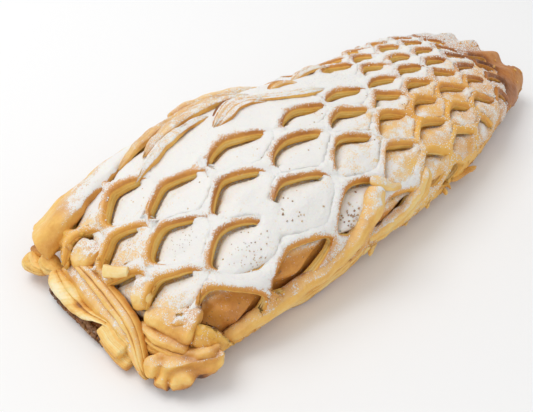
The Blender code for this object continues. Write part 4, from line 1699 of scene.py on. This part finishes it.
@dataclass(frozen=True)
class Pastry:
    """Baked pastry, pale to dark by its number for bake and painted shade, layered on its walls, sugared on
    top.
    """

    name: str
    stops: tuple = ((0.0, paint(247, 228, 180)), (0.22, paint(244, 204, 114)),
                    (0.42, paint(234, 177, 76)), (0.62, paint(214, 147, 64)),
                    (0.80, paint(176, 107, 44)), (1.0, paint(100, 56, 26)))
    mottle: float = 0.30
    layer_count: float = 9.0
    layer_depth: float = 0.00018
    roughness: float = 0.46
    coat: float = 0.10
    layering: float = 0.45
    sugar: tuple = paint(235, 233, 229)
    speck: tuple = paint(120, 86, 58)
    sugar_roughness: float = 0.92
    veil: float = 0.36
    softness: float = 0.34

    def make(self) -> bpy.types.Material:
        """The material.

        Returns:
            A new material.
        """
        graph = Graph(self.name)
        mottle = graph.noise(0.011, 5.0)
        speck = graph.noise(0.0013, 3.0)
        rise, wall = graph.number("rise"), graph.number("wall")
        wobble = graph.noise(0.006, 2.0)
        level = graph.maths("MULTIPLY_ADD", rise, self.layer_count,
                            graph.maths("MULTIPLY", wobble, 1.6))
        lines = graph.tree.nodes.new("ShaderNodeTexNoise")
        lines.noise_dimensions = "1D"
        graph.feed(lines.inputs["W"], level)
        graph.feed(lines.inputs["Scale"], 1.0)
        graph.feed(lines.inputs["Detail"], 2.0)
        layering = graph.maths("MULTIPLY", graph.maths("SUBTRACT", lines.outputs["Fac"], 0.5), wall)
        # This number holds the bake and also painted shade, darker wherever shade is painted in.
        bake = graph.swung(speck, 0.16, graph.swung(mottle, self.mottle, graph.number("bake")))
        bake = graph.maths("MULTIPLY_ADD", layering, self.layering, bake)
        colour = graph.tones(bake, self.stops)
        far, _ = graph.grains(0.00055)
        fine = graph.noise(0.0005, 2.0)
        clump = graph.noise(0.0034, 4.0)
        patchy = graph.swung(clump, 1.1, graph.number("sugar"))
        threshold = graph.maths("ADD", graph.maths("MULTIPLY", fine, 1.25),
                                graph.maths("MULTIPLY_ADD", far, 0.45, -0.35))
        soft = graph.maths("MULTIPLY", graph.step(0.0, 0.09, graph.number("x_place")),
                           self.softness)
        over = graph.maths("ADD", graph.maths("SUBTRACT", patchy, threshold), soft)
        dust = graph.step(-0.16, 0.22, graph.maths(
            "SUBTRACT", graph.maths("DIVIDE", graph.maths("ADD", over, 0.16),
                                    graph.maths("MULTIPLY_ADD", soft, 5.3, 1.0)), 0.16))
        veil = graph.maths("MULTIPLY", graph.step(0.0, 0.8, graph.number("sugar")), self.veil)
        dust = graph.maths("MAXIMUM", dust, veil)
        spread, tint = graph.grains(0.0024)
        pit = graph.maths("MULTIPLY", graph.step(0.20, 0.10, spread),
                          graph.maths("MULTIPLY", graph.step(0.44, 0.56, tint),
                                      graph.number("pits")))
        dust = graph.maths("MULTIPLY", dust, graph.maths("SUBTRACT", 1.0, pit))
        colour = graph.blend(graph.maths("MULTIPLY", pit, 0.75), colour, self.speck)
        dull = graph.maths("MULTIPLY_ADD", dust, self.sugar_roughness - self.roughness,
                           self.roughness)
        graph.look(Base_Color=graph.blend(dust, colour, self.sugar), Roughness=dull,
                   Specular_IOR_Level=0.35, Coat_Weight=self.coat, Coat_Roughness=0.35,
                   Subsurface_Weight=0.12, Subsurface_Radius=(1.0, 0.55, 0.25),
                   Subsurface_Scale=0.002)
        graph.relief((graph.noise(0.0022, 4.0), 0.00035), (graph.noise(0.0008, 2.0), 0.00010),
                     (graph.maths("MULTIPLY_ADD", layering, 1.0, 0.5), self.layer_depth * 2),
                     (speck, 0.00016), (graph.maths("MULTIPLY", dust, graph.maths("ADD", fine, 0.8)),
                                        0.00008))
        return graph.material


# ---- how baked, where shade is painted in, and how sugared

@dataclass
class Dusting:
    """Where the sugar fell, where the oven browned and where shade is painted in, as numbers on each piece.
    """

    loaf: Loaf
    fall: Vector = Vector((0.10, 0.30, 0.95))
    grip: tuple = (0.36, 0.74)
    rim_grip: tuple = (0.40, 0.86)
    rim_shed: tuple = (-0.0020, -0.0006, 0.0006, 0.0031)

    def plenty(self, points: np.ndarray) -> np.ndarray:
        """How much sugar fell on each part of the strudel, before slopes shed it.

        Args:
            points: a row of coordinates for each vertex.

        Returns:
            An amount for each vertex.
        """
        x, y = points[:, 0], points[:, 1]
        much = 1.0 - 0.26 * ramp01(-0.090, -0.124, x) - 0.38 * ramp01(0.045, 0.120, x)
        much -= 0.28 * ramp01(0.018, 0.040, y) * ramp01(-0.070, -0.100, x)
        much -= 0.34 * ramp01(0.024, 0.034, y) * ramp01(-0.114, -0.128, x)
        much -= 0.34 * ramp01(0.022, 0.006, points[:, 2]) * (y < 0.02)
        much -= 0.82 * ramp01(-0.022, 0.030, x) * ramp01(-0.002, -0.026, y)
        much -= 0.42 * ramp01(0.080, 0.120, x) * ramp01(0.020, -0.020, y)
        much -= 0.22 * ramp01(0.030, 0.044, y)
        return much + 0.16 * rough(points, 0.020, 31.0)

    def sugar(self, mesh: bpy.types.Mesh, most: float = 1.0, steeper: float = 0.0) -> None:
        """Store how sugared each vertex is.

        Args:
            mesh: the piece.
            most: how much there is where it lies flat.
            steeper: how much steeper than usual it may be and still hold sugar.
        """
        points, facing = coordinates(mesh), normals(mesh)
        slope = facing @ np.array(self.fall.normalized()) + steeper
        kept = ramp01(*self.grip, slope)
        store(mesh, sugar=most * kept * self.plenty(points) * 1.25)

    def sugar_crust(self, mesh: bpy.types.Mesh) -> None:
        """Store how sugared the lattice is: thick on top, thin where its rims round down.

        Args:
            mesh: the lattice crust.
        """
        points, facing = coordinates(mesh), normals(mesh)
        x, s = fetch(mesh, "x_place"), fetch(mesh, "s_place")
        down = 0.52 * self.loaf.read(x, s)[:, 2:5] + 0.48 * np.array(self.fall.normalized())
        down /= np.linalg.norm(down, axis=1, keepdims=True)
        slope = np.einsum("ij,ij->i", facing, down) + 0.07 * rough(points, 0.006, 37.0)
        inset = fetch(mesh, "inset") * (1 + 0.5 * rough(points, 0.005, 38.0))
        inset = inset + 0.0009 * rough(points, 0.013, 39.0) + 0.0007 * rough(points, 0.0032, 40.0)
        front = ramp01(-0.5, 0.6, fetch(mesh, "facing"))
        back_low, front_low, back_high, front_high = self.rim_shed
        low = back_low + (front_low - back_low) * front
        high = back_high + (front_high - back_high) * front
        share = np.clip((inset - low) / (high - low), 0, 1)
        kept = ramp01(*self.rim_grip, slope) * share * (fetch(mesh, "wall") < 0.5)
        kept *= 1 - 0.66 * ramp01(0.70, 0.84, self.loaf.share(x, s)) * ramp01(0.0, -0.02, x)
        store(mesh, sugar=kept * self.plenty(points) * 1.12)

    def sugar_parcel(self, mesh: bpy.types.Mesh) -> None:
        """Store how sugared the parcel is: all over its top, hardly at all down its sides.

        Args:
            mesh: the parcel.
        """
        points = coordinates(mesh)
        x, s, rise = (fetch(mesh, name) for name in ("x_place", "s_place", "rise"))
        much = 1.20 * (1 - 0.92 * self.loaf.bare(x, s)) * rise
        much *= 1 - 0.9 * ramp01(-0.030, -0.044, s) * ramp01(-0.075, -0.090, x)
        side = ramp01(-0.050, 0.010, x) * ramp01(0.008, 0.030, s)
        much *= 1 - 0.58 * side + 0.45 * side * rough(points, 0.007, 41.0)
        much *= 1 - 0.40 * ramp01(0.080, 0.120, x) - 0.60 * ramp01(0.122, 0.127, x)
        much *= 1 - 0.46 * ramp01(-0.098, -0.122, x)
        # Less sugar just in front of the strand behind, under its overhang: the gold that shows there is
        # partly the pastry's own colour and partly a painted reflection of the wall's warm light.
        much *= 0.35 + 0.65 * ramp01(0.06, 0.30, fetch(mesh, "in_front"))
        pits = 0.75 * ramp01(-0.02, 0.25, rough(points, 0.010, 36.0)) + 0.25
        store(mesh, pits=pits * rise)
        store(mesh, sugar=much * (0.92 + 0.35 * rough(points, 0.012, 35.0)))

    def bake_crust(self, mesh: bpy.types.Mesh) -> None:
        """Store how brown the lattice crust is, with painted shade: brown rims, paler walls that darken
        towards their foot as painted shade, and a far end darkened as painted shade.

        Args:
            mesh: the lattice crust.
        """
        points = coordinates(mesh)
        rise, wall, inset = (fetch(mesh, name) for name in ("rise", "wall", "inset"))
        x, y = points[:, 0], points[:, 1]
        skin = 0.58 + 0.14 * np.exp(-inset / 0.0020)
        skin -= 0.22 * ramp01(-0.085, -0.125, x)
        skin -= 0.17 * ramp01(-0.030, 0.010, x) * ramp01(-0.006, -0.026, y) * ramp01(0.10, 0.07, x)
        # Walls: browned under the rim, pale below, and darker again towards their foot, which is painted
        # shade.
        cut = 0.28 + 0.36 * ramp01(0.80, 0.98, rise) + 0.12 * ramp01(0.45, 0.0, rise)
        bake = np.where(wall > 0.5, cut, skin)
        # Painted shade: darker towards the far end, and eased back at the very tip. Browner on the -Y side
        # of the far half: partly its own colour, partly painted shade.
        bake += 0.08 * ramp01(0.06, 0.12, x) - 0.10 * ramp01(-0.030, -0.050, y)
        bake += 0.16 * ramp01(0.040, 0.090, x) * ramp01(0.004, -0.020, y)
        bake -= 0.10 * ramp01(0.116, 0.126, x)
        bake[rise < 0.01] = 0.70
        store(mesh, bake=bake + 0.08 * rough(points, 0.012, 33.0))

    def bake_parcel(self, mesh: bpy.types.Mesh) -> None:
        """Store how brown the parcel is: pale on top, amber down its sides, and darker towards the far
        end as painted shade.

        Args:
            mesh: the parcel.
        """
        points = coordinates(mesh)
        s = fetch(mesh, "s_place")
        x = fetch(mesh, "x_place")
        bake = 0.32 + 0.31 * self.loaf.bare(x, s) + 0.35 * ramp01(-0.030, -0.045, s)
        # The last term darkens the far end: painted shade.
        bake += 0.16 * ramp01(-0.02, 0.05, x) * ramp01(0.012, 0.036, s) + 0.20 * ramp01(0.07, 0.11, x)
        store(mesh, bake=bake + 0.08 * rough(points, 0.010, 34.0))


# ---- sugar, crumbs and flakes

@dataclass(frozen=True)
class Bits:
    """One kind of small bits: how many, how big and how flat."""

    name: str
    count: int
    least: float
    most: float
    flatness: float = 0.75
    bury: float = 0.35
    seed: int = 1
    smallness: float = 1.6
    warp: float = 0.35
    floor: float = 0.0001

    def grain(self) -> tuple:
        """The corners and faces of one rounded bit of size 1.

        Returns:
            Corners, and the corner numbers of each face.
        """
        bm = bmesh.new()
        bmesh.ops.create_cube(bm, size=1.4)
        bmesh.ops.smooth_vert(bm, verts=bm.verts, factor=0.05)
        bm.verts.ensure_lookup_table()
        corners = np.array([vert.co for vert in bm.verts])
        faces = np.array([[vert.index for vert in face.verts] for face in bm.faces])
        bm.free()
        return corners, faces

    def strew(self, places: np.ndarray, facing: np.ndarray) -> bpy.types.Mesh:
        """Put a bit at every place, turned at random round the way its ground faces.

        Args:
            places: a row of coordinates for each bit.
            facing: the way that the ground faces there.

        Returns:
            All the bits as one mesh.
        """
        dice = np.random.default_rng(self.seed)
        corners, faces = self.grain()
        count = len(places)
        size = self.least * (self.most / self.least) ** (dice.random(count) ** self.smallness)
        side = np.cross(facing, dice.normal(size=(count, 3)))
        side /= np.linalg.norm(side, axis=1, keepdims=True)
        other = np.cross(facing, side)
        shape = corners * (1, 1, self.flatness)
        warp = 1 + dice.uniform(-self.warp, self.warp, (count, len(corners), 1))
        local = shape[None] * warp * size[:, None, None]
        points = (local[..., :1] * side[:, None] + local[..., 1:2] * other[:, None]
                  + local[..., 2:] * facing[:, None])
        points += (places + facing * (size * (self.flatness - self.bury))[:, None])[:, None]
        points[..., 2] = np.maximum(points[..., 2], self.floor)
        every = (faces[None] + (np.arange(count) * len(corners))[:, None, None]).reshape(-1, 4)
        mesh = bpy.data.meshes.new(self.name)
        mesh.from_pydata(points.reshape(-1, 3), [], every)
        mesh.shade_smooth()
        return mesh


@dataclass(frozen=True)
class Powder:
    """White and dull."""

    name: str
    colour: tuple = paint(249, 248, 246)
    roughness: float = 0.95

    def make(self) -> bpy.types.Material:
        """The material.

        Returns:
            A new material.
        """
        graph = Graph(self.name)
        tint = graph.noise(0.004, 2.0)
        shade = tuple(part * 0.90 for part in self.colour[:3]) + (1.0,)
        graph.look(Base_Color=graph.blend(tint, shade, self.colour), Roughness=self.roughness,
                   Specular_IOR_Level=0.2)
        return graph.material


@dataclass
class Scatter:
    """Everything that lies loose on the strudel."""

    loaf: Loaf

    @staticmethod
    def spots(mesh: bpy.types.Mesh, weight: np.ndarray, count: int, seed: int) -> tuple:
        """Places on a mesh, more of them where its vertices weigh more.

        A mesh whose faces come in another order on each run keeps a number for them in order.

        Args:
            mesh: the ground.
            weight: a number for each vertex.
            count: how many places.
            seed: starts the dice.

        Returns:
            The places and the ways that the ground faces there.
        """
        dice = np.random.default_rng(seed)
        start = gather(mesh.polygons, "loop_start", kind=np.int32)
        corner = gather(mesh.loops, "vertex_index", kind=np.int32)
        area = gather(mesh.polygons, "area")
        trios = corner[start[:, None] + np.arange(3)]
        if "order" in mesh.attributes:
            settled = np.argsort(fetch(mesh, "order")[trios].sum(axis=1), kind="stable")
            area, trios = area[settled], trios[settled]
        chance = area * np.maximum(weight[trios[:, 0]], 0)
        trio = trios[dice.choice(len(trios), count, p=chance / chance.sum())]
        share = dice.dirichlet((1, 1, 1), count)[..., None]
        points, facing = coordinates(mesh), normals(mesh)
        ways = (facing[trio] * share).sum(axis=1)
        ways /= np.maximum(np.linalg.norm(ways, axis=1, keepdims=True), 1e-9)
        return (points[trio] * share).sum(axis=1), ways

    def sugar(self, name: str, mesh: bpy.types.Mesh, count: int, seed: int, slot: Slot) -> None:
        """Strew clumps of sugar, most of them where the covering thins out.

        Args:
            name: the clumps' name.
            mesh: the sugared ground.
            count: how many.
            seed: starts the dice.
            slot: the ground's slot.
        """
        much = fetch(mesh, "sugar")
        clumpy = 0.55 + 0.45 * rough(coordinates(mesh), 0.004, seed)
        weight = (1.5 * bump(much, 0.50, 0.32) + 0.35 * ramp01(0.6, 0.9, much)) * clumpy
        weight = np.maximum(weight, 0) * (much > 0.06)
        bits = Bits(name, count, 0.00011, 0.00038, seed=seed)
        add_piece(name, bits.strew(*self.spots(mesh, weight, count, seed)),
                  Powder(name).make(), slot)

    def crumbs(self, parcel: bpy.types.Mesh, base: bpy.types.Mesh) -> None:
        """Strew crumbs in patches of the windows and along the near edge of the bottom crust.

        Args:
            parcel: the parcel.
            base: the bottom crust.
        """
        finish = Pastry("crumbs", stops=(
            (0.0, paint(232, 206, 160)), (0.4, paint(206, 166, 112)), (0.7, paint(150, 104, 66)),
            (1.0, paint(84, 54, 36))), mottle=0.6).make()
        x, s = fetch(parcel, "x_place"), fetch(parcel, "s_place")
        patch = sum(np.exp(-((x - a) ** 2 + (s - b) ** 2) / c ** 2) for a, b, c in (
            (-0.087, 0.0415, 0.007), (-0.067, 0.0410, 0.005), (-0.046, 0.0525, 0.006),
            (-0.100, 0.0200, 0.005), (-0.112, 0.0020, 0.004)))
        patch = patch * fetch(parcel, "rise") * (fetch(parcel, "inset") > 0.001)
        bits = Bits("window_crumbs", 150, 0.00014, 0.00062, bury=0.62, seed=71)
        mesh = bits.strew(*self.spots(parcel, patch, bits.count, bits.seed))
        self.bake(mesh, 0.60, 0.40, 0.30)
        add_piece(bits.name, mesh, finish, Slot.PARCEL)
        points = coordinates(base)
        near = ramp01(-0.1330, -0.1380, points[:, 0]) * ramp01(-0.030, -0.020, points[:, 1])
        bits = Bits("edge_crumbs", 700, 0.0003, 0.0011, seed=72)
        mesh = bits.strew(*self.spots(base, near, bits.count, bits.seed))
        self.bake(mesh, 0.78, 0.20, 0.05)
        add_piece(bits.name, mesh, finish, Slot.BOTTOM)

    def flakes(self, lattice: bpy.types.Mesh) -> None:
        """Strew thin flakes of crust along the hems and the cut end.

        Args:
            lattice: the lattice crust.
        """
        x, s = fetch(lattice, "x_place"), fetch(lattice, "s_place")
        share = self.loaf.share(x, s)
        much = ramp01(0.78, 0.98, share) * (s > 0) + 0.8 * ramp01(-0.112, -0.124, x)
        much += 0.5 * bump(x, -0.045, 0.020) * bump(s, -0.033, 0.008) + 0.4 * ramp01(0.11, 0.13, x)
        bits = Bits("loose_flakes", 420, 0.0007, 0.0022, flatness=0.14, bury=-0.02, seed=73)
        mesh = bits.strew(*self.spots(lattice, much, bits.count, bits.seed))
        self.bake(mesh, 0.46, 0.35, 0.12)
        add_piece(bits.name, mesh, Pastry("flakes").make(), Slot.LATTICE)

    @staticmethod
    def bake(mesh: bpy.types.Mesh, middle: float, spread: float, sugar: float) -> None:
        """Store how brown and how sugared a mesh of loose bits is.

        Args:
            mesh: the bits.
            middle: the usual bake number.
            spread: how much it varies.
            sugar: the usual sugar.
        """
        points = coordinates(mesh)
        store(mesh, bake=middle + spread * rough(points, 0.004, 80.0))
        store(mesh, sugar=sugar + 0.3 * rough(points, 0.003, 81.0))


# ---- studio

@dataclass
class Studio:
    """A plain pale floor, soft lights and the camera."""

    azimuth: float = -48.447
    elevation: float = 43.213
    distance: float = 0.31693
    roll: float = 2.896
    target: Vector = Vector((-0.03299, 0.00371, -0.00548))
    lens: float = 43.5

    def camera(self, loaf: Loaf) -> None:
        """Stand the camera at the near cut end, looking down along the loaf.

        Args:
            loaf: the loaf that it looks at.
        """
        turn, tilt = math.radians(self.azimuth), math.radians(self.elevation)
        back = Vector((math.sin(turn) * math.cos(tilt), -math.cos(turn) * math.cos(tilt),
                       math.sin(tilt)))
        right = Vector((0, 0, 1)).cross(back).normalized()
        right.rotate(Matrix.Rotation(math.radians(-self.roll), 3, -back))
        up = back.cross(right)
        camera = stand("camera", bpy.data.cameras.new("camera"))
        place = Matrix((right, up, back)).transposed().to_4x4()
        place.translation = self.target + Vector(loaf.shift) + back * self.distance
        camera.matrix_world = place
        camera.data.lens = self.lens
        camera.data.clip_start = 0.01
        bpy.context.scene.camera = camera

    def floor(self) -> None:
        """Lay a plain pale floor under the strudel."""
        mesh = bpy.data.meshes.new("floor")
        bm = bmesh.new()
        bmesh.ops.create_grid(bm, x_segments=1, y_segments=1, size=3.0)
        bm.to_mesh(mesh)
        bm.free()
        graph = Graph("floor")
        graph.look(Base_Color=(0.90, 0.90, 0.90, 1.0), Roughness=0.9)
        mesh.materials.append(graph.material)
        floor = stand("floor", mesh)

    def lamp(self, name: str, place: Sequence[float], size: float, power: float) -> None:
        """Hang a square soft light that looks at the strudel.

        Args:
            name: its name.
            place: where it hangs.
            size: its side, in metres.
            power: its power, in watts.
        """
        light = bpy.data.lights.new(name, "AREA")
        light.size, light.energy = size, power
        lamp = stand(name, light)
        lamp.location = place
        lamp.rotation_euler = (-Vector(place)).to_track_quat("-Z", "Y").to_euler()

    def light(self) -> None:
        """Even daylight, strongest from above and behind."""
        world = bpy.data.worlds.new("daylight")
        bpy.context.scene.world = world
        world.use_nodes = True
        backdrop = world.node_tree.nodes["Background"]
        backdrop.inputs["Color"].default_value = (1.0, 1.0, 1.0, 1.0)
        backdrop.inputs["Strength"].default_value = 0.66
        self.lamp("window", (-0.20, 0.55, 1.05), 0.7, 6.2)
        self.lamp("fill", (-0.9, -0.5, 0.6), 0.9, 1.5)
        bpy.context.scene.view_settings.view_transform = "Standard"

    def set_up(self, loaf: Loaf) -> None:
        """Everything that isn't part of the strudel.

        Args:
            loaf: the loaf on the floor.
        """
        self.camera(loaf)
        self.floor()
        self.light()


def main() -> None:
    """Build every piece in order and set up the camera, floor and lights."""
    logging.basicConfig(level=logging.INFO, format="%(message)s")
    loaf = Loaf()
    Studio().set_up(loaf)
    dusting = Dusting(loaf)
    sheet = SlitSheet(loaf)
    crust = LatticeCrust(loaf, sheet)
    lattice = crust.build()
    dusting.sugar_crust(lattice)
    dusting.bake_crust(lattice)
    add_piece("lattice_crust", lattice, Pastry("lattice_crust").make(), Slot.LATTICE, Node.LATTICE)
    parcel = Parcel(loaf).build(crust)
    dusting.sugar_parcel(parcel)
    dusting.bake_parcel(parcel)
    add_piece("inner_parcel", parcel, Pastry("sugared_parcel").make(), Slot.PARCEL, Node.PARCEL)
    base = BottomCrust(loaf).build()
    ground = coordinates(base)
    store(base, bake=0.70 + 0.2 * rough(ground, 0.006, 40.0)
          + 0.18 * ramp01(-0.125, -0.138, ground[:, 0]))
    dusting.sugar(base, 0.3)
    add_piece("bottom_crust", base, Pastry("bottom_crust").make(), Slot.BOTTOM, Node.BASE)
    CutEnd(loaf).add(dusting)
    scatter = Scatter(loaf)
    scatter.sugar("lattice_sugar", lattice, 16000, 61, Slot.LATTICE)
    scatter.sugar("parcel_sugar", parcel, 11000, 62, Slot.PARCEL)
    scatter.crumbs(parcel, base)
    scatter.flakes(lattice)


if __name__ == "__main__":
    main()
